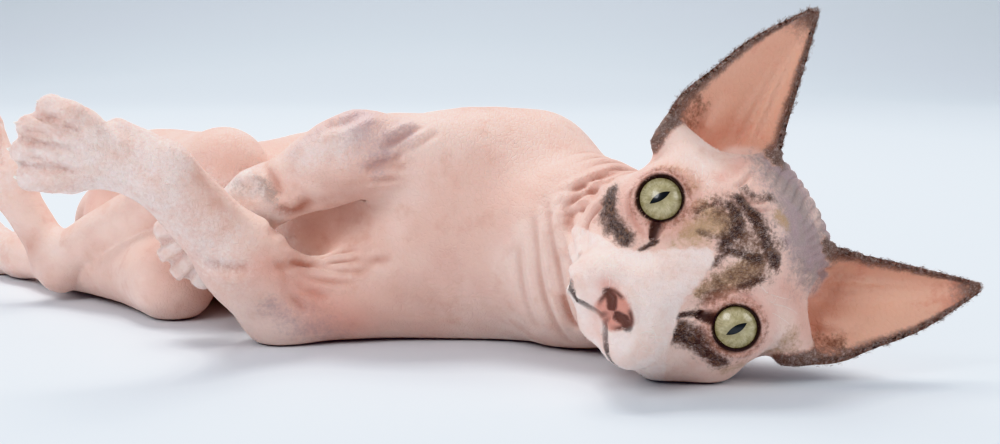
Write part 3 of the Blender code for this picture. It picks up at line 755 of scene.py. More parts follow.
def mesh_of(name: str, points: Sequence[Sequence[float]], faces: Sequence[Sequence[int]]) -> bpy.types.Mesh:
    """A smooth mesh from points in millimetres and faces of their numbers."""
    mesh = bpy.data.meshes.new(name)
    mesh.from_pydata([tuple(float(c) * MM for c in p) for p in points], [], [tuple(f) for f in faces])
    mesh.shade_smooth()
    return mesh


def line_distance(p: np.ndarray, course: np.ndarray) -> tuple[np.ndarray, np.ndarray]:
    """How far points are from a line of many parts.

    Args:
        p: the points.
        course: the line's own points, in order.

    Returns:
        The distance of each point, and how far along the line its nearest place is, from 0 to 1.
    """
    best, where = np.full(len(p), 1e9), np.zeros(len(p))
    count = len(course) - 1
    for i in range(count):
        a, along = course[i], course[i + 1] - course[i]
        t = np.clip(((p - a) @ along) / max(float(along @ along), 1e-9), 0, 1)
        gap = np.linalg.norm(p - a - t[:, None] * along, axis=1)
        closer = gap < best
        best[closer], where[closer] = gap[closer], (i + t[closer]) / count
    return best, where


@dataclass(frozen=True)
class Lens:
    """The photograph's camera, by which a mark is laid on the skin where it shows."""

    at: Point = (0, -684, 130.2)
    tilt: float = 82.5  # degrees from straight down
    focal: float = 70
    sensor: float = 36
    size: tuple[int, int] = (1000, 444)

    def ray(self, x: float, y: float) -> Vector:
        """The direction in which a place of the photograph lies."""
        across = (x - self.size[0] / 2) / self.size[0] * self.sensor / self.focal
        above = (self.size[1] / 2 - y) / self.size[0] * self.sensor / self.focal
        turn = Matrix.Rotation(math.radians(self.tilt), 3, "X")
        return (turn @ Vector((across, above, -1))).normalized()


@dataclass(frozen=True)
class Course:
    """A line over the skin. Its places are pixels of the photograph, or points in millimetres."""

    places: tuple[tuple[float, ...], ...]

    def laid(self, tree: BVHTree, lens: Lens) -> np.ndarray | None:
        """The line's points on the skin.

        Args:
            tree: the skin.
            lens: the photograph's camera.

        Returns:
            The points in millimetres with curves drawn through them, or None where it misses the skin.
        """
        found = []
        for spot in self.places:
            if len(spot) == 3:
                hit = tree.find_nearest(Vector(spot) * MM)[0]
            else:
                hit = tree.ray_cast(Vector(lens.at) * MM, lens.ray(*spot))[0]
            if hit is not None:
                found.append(np.array(hit) / MM)
        if len(found) < 2:
            return None
        steps = [EarSheet.along(found, t) for t in np.linspace(0, 1, 4 * len(found) - 3)]
        return np.array([np.array(tree.find_nearest(Vector(s) * MM)[0]) / MM for s in steps])


@dataclass(frozen=True)
class Fold:
    """A crease in the skin with a soft lip along both its sides."""

    course: Course
    width: float = 1.5
    depth: float = 0.9
    lip: float = 0.55  # the lips' height as a share of the depth

    def lift(self, p: np.ndarray, line: np.ndarray) -> np.ndarray:
        """How far each point moves outwards; inwards is negative."""
        gap, where = line_distance(p, line)
        ends = np.clip(np.sin(np.clip(where, 0.001, 0.999) * math.pi), 0, 1) ** 0.6
        groove = -np.exp(-((gap / self.width) ** 2))
        lips = self.lip * np.exp(-(((gap - 1.9 * self.width) / (0.9 * self.width)) ** 2))
        return self.depth * ends * (groove + lips)


@dataclass(frozen=True)
class Stroke:
    """A soft-edged mark of the coat along a line."""

    mask: str
    course: Course
    width: float
    strength: float = 1.0

    def amount(self, p: np.ndarray, line: np.ndarray) -> np.ndarray:
        """The mark's strength at each point."""
        gap, _ = line_distance(p, line)
        return self.strength * np.exp(-((gap / self.width) ** 2))


def fold(width: float, depth: float, *places: tuple[float, ...], lip: float = 0.55) -> Fold:
    """A fold through the places given."""
    return Fold(Course(places), width, depth, lip)


def stroke(mask: str, width: float, strength: float, *places: tuple[float, ...]) -> Stroke:
    """A mark through the places given."""
    return Stroke(mask, Course(places), width, strength)


FOLDS = (
    # the armpit and the skin between arm and chest
    fold(1.8, 1.5, (364, 169), (384, 163), (404, 158)),
    fold(1.5, 1.2, (366, 175), (388, 171), (407, 167)),
    fold(1.5, 0.9, (367, 181), (386, 180), (400, 178)),
    fold(1.8, 1.2, (381, 151), (398, 140), (422, 125)),
    fold(1.5, 0.7, (392, 158), (412, 146), (440, 131)),
    # the folds that run out of the lower elbow
    fold(1.8, 1.5, (272, 264), (302, 261), (342, 260), (392, 258)),
    fold(1.8, 1.5, (274, 268), (310, 268), (345, 269), (376, 266)),
    fold(1.8, 1.4, (278, 273), (310, 277), (335, 279), (356, 280)),
    fold(1.8, 1.3, (282, 279), (305, 288), (330, 299)),
    fold(1.8, 1.1, (282, 286), (295, 299), (308, 314)),
    fold(1.6, 0.9, (290, 262), (330, 255), (372, 250)),
    # the folds round the throat
    fold(1.8, 1.4, (560, 194), (585, 182), (608, 174), (630, 170)),
    fold(1.8, 1.3, (560, 212), (563, 204), (571, 197), (590, 187), (612, 181)),
    fold(1.7, 1.5, (566, 253), (563, 224), (571, 205), (588, 191), (604, 184)),
    fold(1.6, 1.4, (574, 258), (571, 230), (582, 208), (599, 194)),
    fold(1.6, 1.3, (585, 253), (584, 233), (591, 216), (605, 202)),
    fold(1.8, 1.4, (560, 261), (568, 281), (573, 297)),
    fold(1.8, 1.4, (560, 295), (577, 331), (602, 356)),
    fold(1.8, 1.0, (548, 200), (551, 230), (556, 262), (562, 292), (578, 330)),
    fold(2.0, 0.9, (535, 215), (536, 250), (540, 285), (552, 320), (572, 345)),
    fold(2.2, 0.7, (520, 240), (519, 270), (524, 300), (538, 330)),
    # the rings round the eyes
    fold(0.9, 0.7, (636, 180), (661, 168), (683, 180), (695, 202)),
    fold(0.9, 0.6, (631, 188), (628, 205), (634, 222), (647, 238)),
    fold(0.9, 0.7, (700, 298), (728, 292), (756, 303), (770, 322)),
    fold(0.9, 0.6, (700, 318), (706, 335), (722, 348), (742, 354), (762, 346)),
    fold(0.8, 0.6, (700, 305), (729, 298), (754, 309), (765, 325)),
    # the brows
    fold(0.9, 0.7, (695, 213), (706, 206), (723, 203)),
    fold(0.9, 0.6, (700, 222), (712, 216), (728, 212)),
    fold(0.9, 0.7, (728, 292), (745, 286), (762, 281)),
    fold(0.9, 0.6, (735, 284), (750, 280), (766, 273)),
    # between the ears and the crown
    fold(0.9, 0.8, (740, 191), (754, 202), (768, 202)),
    fold(0.9, 0.7, (735, 187), (745, 181), (752, 170)),
    fold(0.9, 0.8, (742, 197), (757, 209), (772, 208)),
    fold(0.9, 0.7, (790, 268), (812, 271), (835, 274)),
    fold(0.9, 0.6, (790, 262), (805, 263), (822, 264)),
    # between the toes of the raised paw
    fold(1.2, 1.2, (2, 132), (27, 132), (52, 142)),
    fold(1.2, 1.2, (18, 161), (37, 159), (55, 166)),
    fold(1.2, 1.1, (34, 106), (46, 117), (67, 118)),
    # the other arm, along its inside and at its wrist
    fold(2.4, 1.0, (300, 130), (322, 128), (346, 122), (368, 112)),
    fold(2.0, 0.8, (232, 182), (250, 188), (268, 186)),
    fold(2.0, 0.8, (262, 163), (274, 180), (280, 200)),
    # where the belly meets the thighs
    fold(2.4, 1.2, (205, 262), (225, 268), (250, 270)),
    fold(2.4, 1.0, (268, 236), (290, 214), (312, 200)),
)

STROKES = (
    # the dark marks of the face
    stroke("dark", 3.6, 0.95, (612, 192), (609, 208), (614, 224), (625, 240)),
    stroke("dark", 2.6, 0.75, (606, 202), (604, 216), (610, 232)),
    stroke("dark", 1.2, 1.0, (641, 250), (648, 246), (656, 241)),
    stroke("dark", 1.3, 1.0, (677, 316), (688, 314), (700, 311)),
    stroke("dark", 3.6, 0.95, (676, 334), (692, 340), (706, 352), (722, 362)),
    stroke("dark", 2.8, 0.8, (682, 326), (696, 332), (706, 344)),
    stroke("brown", 6.5, 0.62, (725, 208), (745, 238), (768, 252), (756, 269), (728, 280), (711, 294)),
    stroke("brown", 3.5, 0.5, (695, 213), (717, 205)),
    stroke("dark", 2.8, 0.9, (730, 205), (738, 218), (735, 232), (724, 243)),
    stroke("dark", 3.0, 0.85, (740, 200), (752, 214), (762, 230), (768, 248), (775, 262)),
    stroke("dark", 2.4, 0.75, (722, 250), (740, 254), (758, 258)),
    stroke("dark", 2.0, 0.7, (700, 270), (715, 262), (728, 252)),
    stroke("dark", 1.6, 0.7, (740, 287), (752, 283), (763, 279)),
    stroke("dark", 1.3, 0.6, (697, 213), (707, 206), (722, 204)),
    stroke("dark", 1.8, 0.55, (700, 232), (715, 238), (728, 240)),
    stroke("dark", 2.2, 0.6, (745, 188), (757, 198), (770, 198)),
    # warm fawn between them
    stroke("tan", 5.0, 0.9, (690, 232), (705, 226), (724, 222)),
    stroke("tan", 3.6, 0.8, (700, 210), (716, 216), (726, 228)),
    stroke("tan", 5.0, 0.9, (722, 284), (742, 272), (752, 266)),
    stroke("tan", 3.6, 0.7, (700, 292), (712, 286), (726, 280)),
    stroke("tan", 2.6, 0.7, (778, 214), (785, 224)),
    stroke("tan", 4.0, 0.5, (676, 240), (690, 244), (704, 244)),
    stroke("tan", 5.0, 0.5, (730, 368), (752, 366), (776, 352), (790, 338)),
    stroke("tan", 3.0, 0.5, (664, 166), (684, 172), (694, 188)),
    # the grey crown, and on over the back of the head
    stroke("grey", 13.0, 1.0, (784, 172), (796, 208), (806, 240), (824, 264)),
    stroke("grey", 20.0, 0.9, (118, -70, 52), (112, -40, 48), (92, -24, 44)),
    stroke("grey", 11.0, 0.8, (104, -60, 84), (112, -52, 60), (116, -60, 34)),
    # rosy skin
    stroke("pink", 3.2, 0.9, (606, 286), (614, 300), (618, 318)),
    stroke("pink", 3.4, 0.35, (602, 300), (596, 322), (604, 344)),
    stroke("pink", 3.4, 0.5, (722, 176), (734, 172), (742, 160)),
    stroke("pink", 5.0, 0.5, (784, 288), (796, 300), (806, 330)),
    stroke("pink", 9.0, 0.6, (300, 290), (322, 306), (350, 322)),
    stroke("pink", 6.0, 0.5, (262, 268), (286, 282), (300, 300)),
    # grey-mauve marks on the arms, ribs and knee, and painted shade at the elbow
    stroke("mauve", 9.0, 0.9, (384, 108), (362, 116), (352, 130)),
    stroke("mauve", 7.0, 0.6, (404, 128), (388, 142), (376, 158)),
    stroke("mauve", 5.0, 0.7, (318, 130), (306, 140), (296, 150)),
    stroke("mauve", 6.0, 0.6, (330, 124), (316, 136)),
    stroke("mauve", 8.0, 0.5, (300, 322), (330, 330), (360, 342)),
    stroke("brown", 4.0, 0.95, (232, 183), (243, 190), (256, 188)),
    stroke("brown", 4.0, 0.6, (250, 176), (262, 186), (268, 198)),
    # painted shade at the elbow, over its darker skin
    stroke("mauve", 5.0, 0.55, (269, 305), (280, 312), (291, 320)),
    stroke("white", 6.0, 0.4, (716, 152), (704, 166), (722, 176)),
    # the pale fur of the paws and forearms
    stroke("white", 14.0, 0.9, (40, 150), (80, 160), (130, 180)),
    stroke("white", 12.0, 0.6, (150, 200), (190, 230), (220, 260)),
    stroke("white", 8.0, 0.7, (300, 158), (318, 146), (338, 140)),
    # the back, which the photograph doesn't show
    stroke("mauve", 16.0, 0.6, (30, 20, 60), (-10, 60, 60), (-50, 90, 55)),
    stroke("mauve", 12.0, 0.6, (-110, 130, 50), (-140, 150, 40)),
    stroke("mauve", 7.0, 0.7, (-176, 166, 22), (-176, 190, 14)),
    stroke("mauve", 7.0, 0.7, (-112, 222, 10), (-72, 216, 8)),
    stroke("brown", 5.0, 0.6, (-40, 196, 6), (-18, 172, 4)),
)

# crease is painted shade: how deep a fold is, which darkens the colour there
MASKS = ("white", "dark", "tan", "grey", "pink", "mauve", "brown", "rim", "inside", "edge", "nose", "crease")


@dataclass
class Sculptor:
    """Makes the one skin: its surface, its folds, and the masks of its markings and of the painted shade in
    its creases.
    """

    flesh: Flesh
    lens: Lens = Lens()
    voxel: float = 1.35
    coat_depth: float = 0.3
    rest: float = 0.35  # how softly the skin flattens on the floor
    most_out: float = 1.3  # the furthest that a fold may lift the skin
    most_in: float = 2.4  # and press it in
    fold_reach: float = 9
    blaze: tuple[Point, ...] = (  # height on the face, and the white's left and right edges there
        (5.5, 0.4, 0.8), (4.6, -1.9, 2.9), (-2.1, -4.9, 6.0), (-4.8, -5.9, 7.4), (-10.7, -7.9, 10.0),
        (-15.7, -13.0, 13.6), (-19.2, -16.5, 16.8), (-23.0, -20.5, 24.0), (-28.0, -27.0, 30.0),
        (-44.0, -40.0, 40.0),
    )

    def first_mesh(self) -> bpy.types.Object:
        """The masses as convex hulls, with thick ears, remeshed into one closed surface."""
        a = self.flesh.anatomy
        bm = bmesh.new()
        masses = [m for g in (a.trunk, a.neck, a.head) for m in g.masses]
        masses += [m for limb in a.limbs for m in limb.group.masses]
        for mass in masses:
            points = [bm.verts.new(Vector(c) * MM) for c in mass.hull()]
            made = bmesh.ops.convex_hull(bm, input=points)
            inner = [v for v in made["geom_interior"] if isinstance(v, bmesh.types.BMVert)]
            bmesh.ops.delete(bm, geom=inner, context="VERTS")
        for ear in self.flesh.ears:
            ear.shell(bm)
        mesh = bpy.data.meshes.new("skin")
        bm.to_mesh(mesh)
        bm.free()
        obj = add_object("skin", mesh)
        remesh = obj.modifiers.new("one surface", "REMESH")
        remesh.mode = "VOXEL"
        remesh.voxel_size = self.voxel * MM
        apply_modifiers(obj)
        return obj

    @staticmethod
    def largest_only(obj: bpy.types.Object) -> None:
        """Drops the specks that the remesh leaves beside the main surface."""
        bm = bmesh.new()
        bm.from_mesh(obj.data)
        left, groups = set(bm.verts), []
        while left:
            group, edge = set(), [left.pop()]
            while edge:
                v = edge.pop()
                group.add(v)
                for e in v.link_edges:
                    other = e.other_vert(v)
                    if other in left:
                        left.discard(other)
                        edge.append(other)
            groups.append(group)
        keep = max(groups, key=len)
        bmesh.ops.delete(bm, geom=[v for v in bm.verts if v not in keep], context="VERTS")
        bm.to_mesh(obj.data)
        bm.free()

    @staticmethod
    def face_share(p: np.ndarray, centre: Point, radii: Point) -> np.ndarray:
        """Which points lie within an egg of the head's frame."""
        return np.linalg.norm((HEAD.local(p) - centre) / radii, axis=1) < 1

    def project(self, obj: bpy.types.Object, which: np.ndarray, passes: int) -> None:
        """Draws some of a mesh's points onto the surface of the flesh."""
        points = coordinates(obj.data)
        points[which] = Flesh.pressed(points[which], self.flesh.distance, passes)
        place(obj.data, points)

    @staticmethod
    def subdivided(obj: bpy.types.Object, which: np.ndarray) -> None:
        """Splits the edges between the chosen points."""
        bm = bmesh.new()
        bm.from_mesh(obj.data)
        bm.verts.ensure_lookup_table()
        edges = [e for e in bm.edges if which[e.verts[0].index] and which[e.verts[1].index]]
        bmesh.ops.subdivide_edges(bm, edges=edges, cuts=1, use_grid_fill=True)
        bmesh.ops.triangulate(bm, faces=[f for f in bm.faces if len(f.verts) > 4])
        bm.to_mesh(obj.data)
        bm.free()

    def sculpted(self) -> bpy.types.Object:
        """The smooth skin, finest on the face."""
        obj = self.first_mesh()
        self.largest_only(obj)
        points = coordinates(obj.data)
        self.project(obj, np.ones(len(points), bool), 4)
        relax = obj.modifiers.new("even", "SMOOTH")
        relax.factor, relax.iterations = 0.5, 2
        finer = obj.modifiers.new("finer", "SUBSURF")
        finer.levels = finer.render_levels = 1
        apply_modifiers(obj)
        self.project(obj, self.detailed(coordinates(obj.data)), 2)
        points = coordinates(obj.data)
        self.subdivided(obj, self.face_share(points, (0, 12, -12), (36, 26, 32)))
        points = coordinates(obj.data)
        self.project(obj, self.face_share(points, (0, 12, -12), (37, 27, 33)), 2)
        obj.data.shade_smooth()
        return obj

    def detailed(self, p: np.ndarray) -> np.ndarray:
        """The points of the head, ears and paws."""
        local = HEAD.local(p)
        found = (local[:, 1] > -40) & (local[:, 2] > -45) & (p[:, 0] > 10)
        for paw in self.flesh.anatomy.paws.values():
            middle = (paw.start + paw.end) / 2
            found |= np.linalg.norm(p - middle, axis=1) < paw.length * 0.75
        return found

    @staticmethod
    def furrows(p: np.ndarray) -> np.ndarray:
        """The wavy furrows over the crown, from the brow to the back of the head."""
        x, y, z = HEAD.local(p).T
        wave = x + 1.2 * np.sin(z / 4.2 + 0.12 * x) + 0.8 * np.sin(y / 5.3 + 1.0)
        shape = np.abs(np.sin(wave * math.pi / 3.4)) ** 0.7 - 0.62
        wide = smooth(-30, -20, x) * (1 - smooth(15, 25, x))
        high = smooth(21, 30, z) * (1 - smooth(-3, 5, y)) * smooth(-58, -40, y)
        return 0.8 * shape * wide * high

    def neck_rings(self, p: np.ndarray) -> np.ndarray:
        """The loose rings of skin round the neck, on the sides that the photograph doesn't show."""
        a = self.flesh.anatomy
        start, end = np.array(a.neck_base, float), np.array(a.neck_top, float)
        way = unit(end - start)
        along = (p - start) @ way
        rise = 2.2 * np.sin(p[:, 2] / 9.0) + 1.6 * np.sin(p[:, 0] / 7.0 + 1.3)
        shape = np.abs(np.sin((along + rise) * math.pi / 6.5)) ** 0.8 - 0.6
        spread = smooth(-16, 4, along) * (1 - smooth(34, 46, along))
        hidden = smooth(0.0, 0.5, share_behind(p, start, way))
        return 1.5 * shape * spread * hidden

    @staticmethod
    def ripples(p: np.ndarray) -> np.ndarray:
        """Fine slack wrinkles over the trunk and limbs."""
        x, y, z = p.T
        lobes = np.sin(x / 13.0 + 0.9 * np.sin(z / 17.0))
        lobes *= np.sin(z / 11.0 + 0.7 * np.sin(x / 15.0 + y / 19.0))
        slant = (0.8 * x + 0.5 * y + 0.9 * z) / 2.4
        lines = np.sin(slant + 1.7 * np.sin(x / 12.0) + 1.3 * np.sin(z / 9.0))
        body = 1 - smooth(0, 40, x)
        return body * (0.30 * lobes + 0.10 * lines * smooth(0.1, 0.6, np.abs(lobes)))

    def toe_folds(self) -> list[Fold]:
        """The clefts between the toes of every paw."""
        found = []
        for paw in self.flesh.anatomy.paws.values():
            for index in range(len(paw.spread) - 1):
                middles = [(a + b) / 2 for a, b in zip(paw.toe(index), paw.toe(index + 1))]
                line = [tuple(m + paw.back * lift) for m, lift in zip(middles, (6.5, 5.0, 3.0))]
                end = tuple(middles[2] + paw.along * 5.5 - paw.back * 1.5)
                found.append(fold(1.15, 1.7, *line, end, lip=0.3))
        return found

    def wrinkle(self, obj: bpy.types.Object) -> np.ndarray:
        """Moves the skin by its folds.

        Args:
            obj: the smooth skin.

        Returns:
            How deep each point lies in a crease, from 0 to 1; the material paints the creases darker by it,
            as painted shade.
        """
        points, away = coordinates(obj.data), normals(obj.data)
        tree = BVHTree.FromObject(obj, bpy.context.evaluated_depsgraph_get())
        lift = self.furrows(points) + self.neck_rings(points) + self.ripples(points)
        for item in (*FOLDS, *self.toe_folds()):
            line = item.course.laid(tree, self.lens)
            if line is None:
                log.warning("a fold misses the skin: %s", item.course.places)
                continue
            reach = self.fold_reach
            close = np.all((points > line.min(0) - reach) & (points < line.max(0) + reach), axis=1)
            lift[close] += item.lift(points[close], line)
        lift *= smooth(0.0, 4.0, points[:, 2])
        moved = points + away * (np.clip(lift, -self.most_in, self.most_out) - self.coat_depth)[:, None]
        moved[:, 2] = self.rest * np.logaddexp(0, moved[:, 2] / self.rest)
        place(obj.data, moved)
        # the creases' depth, which the material turns into painted shade
        return np.clip(-lift / 1.1, 0, 1)

    def marks(self, obj: bpy.types.Object, crease: np.ndarray) -> Masks:
        """The masks of the skin's markings.

        Args:
            obj: the skin.
            crease: how deep each point lies in a crease, which sets the painted shade there.

        Returns:
            A strength from 0 to 1 for each point, for every name in MASKS.
        """
        p = coordinates(obj.data)
        masks = {name: np.zeros(len(p)) for name in MASKS}
        masks["crease"] = crease
        tree = BVHTree.FromObject(obj, bpy.context.evaluated_depsgraph_get())
        for item in STROKES:
            line = item.course.laid(tree, self.lens)
            if line is None:
                log.warning("a mark misses the skin: %s", item.course.places)
                continue
            reach = item.width * 2.2
            close = np.all((p > line.min(0) - reach) & (p < line.max(0) + reach), axis=1)
            known = masks[item.mask][close]
            masks[item.mask][close] = np.maximum(known, item.amount(p[close], line))
        self.mark_face(p, masks)
        self.mark_ears(p, masks)
        self.mark_paws(p, masks)
        return masks

    def mark_face(self, p: np.ndarray, masks: Masks) -> None:
        """The white blaze and muzzle, the nose leather, the dark lips and nostrils with painted shade in the
        nostril pits, and the rims of the eyes.
        """
        a = self.flesh.anatomy
        x, y, z = HEAD.local(p).T
        table = np.array(sorted(self.blaze))
        left, right = np.interp(z, table[:, 0], table[:, 1]), np.interp(z, table[:, 0], table[:, 2])
        jitter = 0.35 * np.sin(x * 0.9 + z * 0.7) * np.sin(z * 1.1 - x * 0.4)
        inside = np.minimum(np.minimum(right - x, x - left), 5.6 - z) + jitter
        front = smooth(-26, -8, y) * smooth(-60, -45, z)
        strengthen(masks, "white", smooth(-1.3, 1.2, inside) * front)
        for name in ("dark", "tan", "grey"):
            masks[name] *= 1 - smooth(-0.4, 0.8, inside) * front
        walls = (5.9 - np.sqrt(x * x + 0.5) + 0.30 * (z + 29), z + 33.4, -24.2 - z - 0.04 * x * x)
        nose = -np.logaddexp.reduce([-1.4 * wall for wall in walls]) / 1.4
        masks["nose"] = smooth(-0.9, 0.6, nose) * smooth(23, 26, y)
        masks["white"] *= 1 - masks["nose"]
        # Dark lines along the lips, philtrum and nostrils: the black pigment of lips and nose, and painted
        # shade in the nostril pits.
        line = np.minimum.reduce(
            [self.flesh.chain(p, side, name) - GROOVES[name][0] for side in Side for name in FACE_LINES]
        )
        lips = (1 - smooth(0.1, 1.1, line)) * smooth(4, 16, y)
        edge = masks["nose"] * (1 - smooth(0.2, 1.9, nose))
        edge *= smooth(1.0, 3.0, np.abs(x)) * smooth(-33, -30, z)
        strengthen(masks, "rim", np.maximum(0.85 * lips, 0.85 * edge))
        for side in Side:
            centre, axes = a.eye_centre(side), a.eye_axes(side)
            q = (p - centre) @ axes.T
            ring = np.hypot(q[:, 0], q[:, 2])
            lid = (1 - smooth(a.lid_radius - 1.3, a.lid_radius - 0.2, ring)) * smooth(2, 5, q[:, 1])
            s = side.value
            corner = Rod(HEAD.point(s * 17, 9.5, -5), HEAD.point(s * 11.5, 12, -10.5), 1.1, 0.4)
            tear = 1 - smooth(0.0, 1.6, corner.distance(p))
            strengthen(masks, "rim", np.maximum(lid, 0.9 * tear))
            soot = (1 - smooth(a.lid_radius + 0.2, a.lid_radius + 3.0, ring)) * smooth(0, 4, q[:, 1])
            strengthen(masks, "brown", 0.5 * soot)
            halo = (1 - smooth(a.lid_radius + 2.0, a.lid_radius + 7.0, ring)) * smooth(0, 4, q[:, 1])
            strengthen(masks, "pink", 0.4 * halo * (1 - masks["dark"]))

    def mark_ears(self, p: np.ndarray, masks: Masks) -> None:
        """The rosy inside of the ears, their brown rims and their grey backs."""
        for ear in self.flesh.ears:
            near = np.all((p > ear.low - 6) & (p < ear.high + 6), axis=1)
            gaps, uv = ear.nearest(p[near])
            on = 1 - smooth(2.5, 5.0, gaps)
            local = HEAD.local(p[near])
            local[:, 0] *= ear.side.value
            sheet = np.array([ear.local(u, v) for u, v in uv])
            behind = smooth(-0.4, 0.4, (local - sheet) @ ear.back_way)
            u, v = uv.T
            crown_edge = smooth(0.66, 1.0, -v + 0.06 * smooth(0.4, 1.0, u))
            cheek_edge = smooth(0.82, 1.0, v + 0.06 * smooth(0.5, 1.0, u))
            tip = smooth(0.80, 0.96, u)
            rim = np.maximum.reduce([crown_edge, cheek_edge, tip]) * on
            front = on * (1 - behind)
            deep = front * (1 - smooth(0.05, 0.55, u + 0.15 * np.abs(v)))
            flap = front * smooth(0.45, 0.85, v) * (1 - smooth(0.30, 0.42, u))
            for name, keep, amount in (
                ("inside", 1.0, front * smooth(-0.02, 0.10, u)),
                ("edge", 1.0, rim),
                ("grey", 1 - front, on * behind * 0.8),
                ("pink", 1 - on, 0.75 * deep),
                ("brown", 1.0, 0.6 * flap),
            ):
                masks[name][near] = np.maximum(masks[name][near] * keep, amount)

    def mark_paws(self, p: np.ndarray, masks: Masks) -> None:
        """Rosy pads under the paws and short pale fur over them."""
        for name, paw in self.flesh.anatomy.paws.items():
            reach = np.linalg.norm(p - (paw.start + paw.end) / 2, axis=1)
            on = 1 - smooth(paw.length * 0.6, paw.length * 0.8, reach)
            under = (p - paw.knuckle) @ -paw.back
            far = (p - paw.start) @ paw.along / paw.length
            pads = on * smooth(4.0, 8.0, under) * smooth(0.35, 0.5, far)
            strengthen(masks, "pink", 0.9 * pads)
            pale = 0.8 if "fore" in name else 0.45
            strengthen(masks, "white", on * (1 - pads) * pale)


def share_behind(p: np.ndarray, start: np.ndarray, way: np.ndarray) -> np.ndarray:
    """How far behind an axis each point lies, as seen by the photograph, from -1 to 1."""
    out = p - start - ((p - start) @ way)[:, None] * way
    back = np.array([0.35, 0.8, 0.35])
    return (out @ unit(back)) / np.maximum(np.linalg.norm(out, axis=1), 1e-6)


class Wiring:
    """The nodes of a material or group, with short ways to add and join them."""

    def __init__(self, tree: bpy.types.NodeTree) -> None:
        """Starts with the nodes that the tree has."""
        self.tree = tree

    def add(self, kind: str, **settings: object) -> bpy.types.Node:
        """A new node with its properties set."""
        node = self.tree.nodes.new(kind)
        for name, value in settings.items():
            setattr(node, name, value)
        return node

    def feed(self, socket: Socket, value: object) -> None:
        """Joins a socket to another, or sets its own value."""
        if isinstance(value, Socket):
            self.tree.links.new(value, socket)
        else:
            socket.default_value = value

    def mix(self, share: object, below: object, above: object) -> Socket:
        """One colour laid over another by a share."""
        node = self.add("ShaderNodeMix", data_type="RGBA")
        self.feed(node.inputs[0], share)
        self.feed(node.inputs[6], below)
        self.feed(node.inputs[7], above)
        return node.outputs[2]

    def math(self, operation: str, first: object, second: object = 0.0) -> Socket:
        """A sum on one or two values."""
        node = self.add("ShaderNodeMath", operation=operation)
        self.feed(node.inputs[0], first)
        self.feed(node.inputs[1], second)
        return node.outputs[0]

    def noise(self, where: object, scale: float, detail: float = 3.0, rough: float = 0.55) -> Socket:
        """Cloudy noise, from 0 to 1."""
        node = self.add("ShaderNodeTexNoise")
        self.feed(node.inputs["Vector"], where)
        node.inputs["Scale"].default_value = scale
        node.inputs["Detail"].default_value = detail
        node.inputs["Roughness"].default_value = rough
        return node.outputs["Fac"]

    def stretched(self, where: object, scale: Point) -> Socket:
        """Places with each axis stretched by its own scale."""
        node = self.add("ShaderNodeMapping")
        self.feed(node.inputs["Vector"], where)
        node.inputs["Scale"].default_value = scale
        return node.outputs["Vector"]

    def ramp(self, value: object, low: float, high: float) -> Socket:
        """A soft step from 0 at low to 1 at high."""
        node = self.add("ShaderNodeMapRange", interpolation_type="SMOOTHSTEP")
        self.feed(node.inputs["Value"], value)
        node.inputs["From Min"].default_value = low
        node.inputs["From Max"].default_value = high
        return node.outputs["Result"]

    def mask(self, name: str) -> Socket:
        """A mask that the mesh carries on its points."""
        return self.add("ShaderNodeAttribute", attribute_name=name).outputs["Fac"]


def new_material(name: str, settings: dict[str, object]) -> tuple[bpy.types.Material, Wiring, bpy.types.Node]:
    """A new material.

    Args:
        name: its name.
        settings: values for the shader's own sockets.

    Returns:
        The material, its wiring and its shader.
    """
    made = bpy.data.materials.new(name)
    made.use_nodes = True
    shader = made.node_tree.nodes["Principled BSDF"]
    for socket, value in settings.items():
        shader.inputs[socket].default_value = value
    return made, Wiring(made.node_tree), shader


@dataclass(frozen=True)
class Palette:
    """The colours of the skin and its short coat, with the painted shade of its creases."""

    flesh: Colour = srgb(231, 192, 178)
    pale: Colour = srgb(241, 212, 200)
    ruddy: Colour = srgb(211, 154, 134)
    mauve: Colour = srgb(182, 156, 158)
    grey: Colour = srgb(176, 155, 150)
    fawn: Colour = srgb(196, 160, 128)
    brown: Colour = srgb(122, 92, 76)
    dark: Colour = srgb(66, 50, 47)
    white: Colour = srgb(246, 230, 224)
    rose: Colour = srgb(218, 138, 118)
    nose: Colour = srgb(214, 150, 134)
    inside: Colour = srgb(232, 184, 160)
    edge: Colour = srgb(118, 93, 82)
    # dark pigment of lips, lids and nose; in the nostril pits it is painted shade
    rim: Colour = srgb(42, 28, 28)
    # painted shade: the darker, redder colour laid into the creases
    fold: Colour = srgb(186, 126, 108)
    vein: Colour = srgb(212, 140, 120)


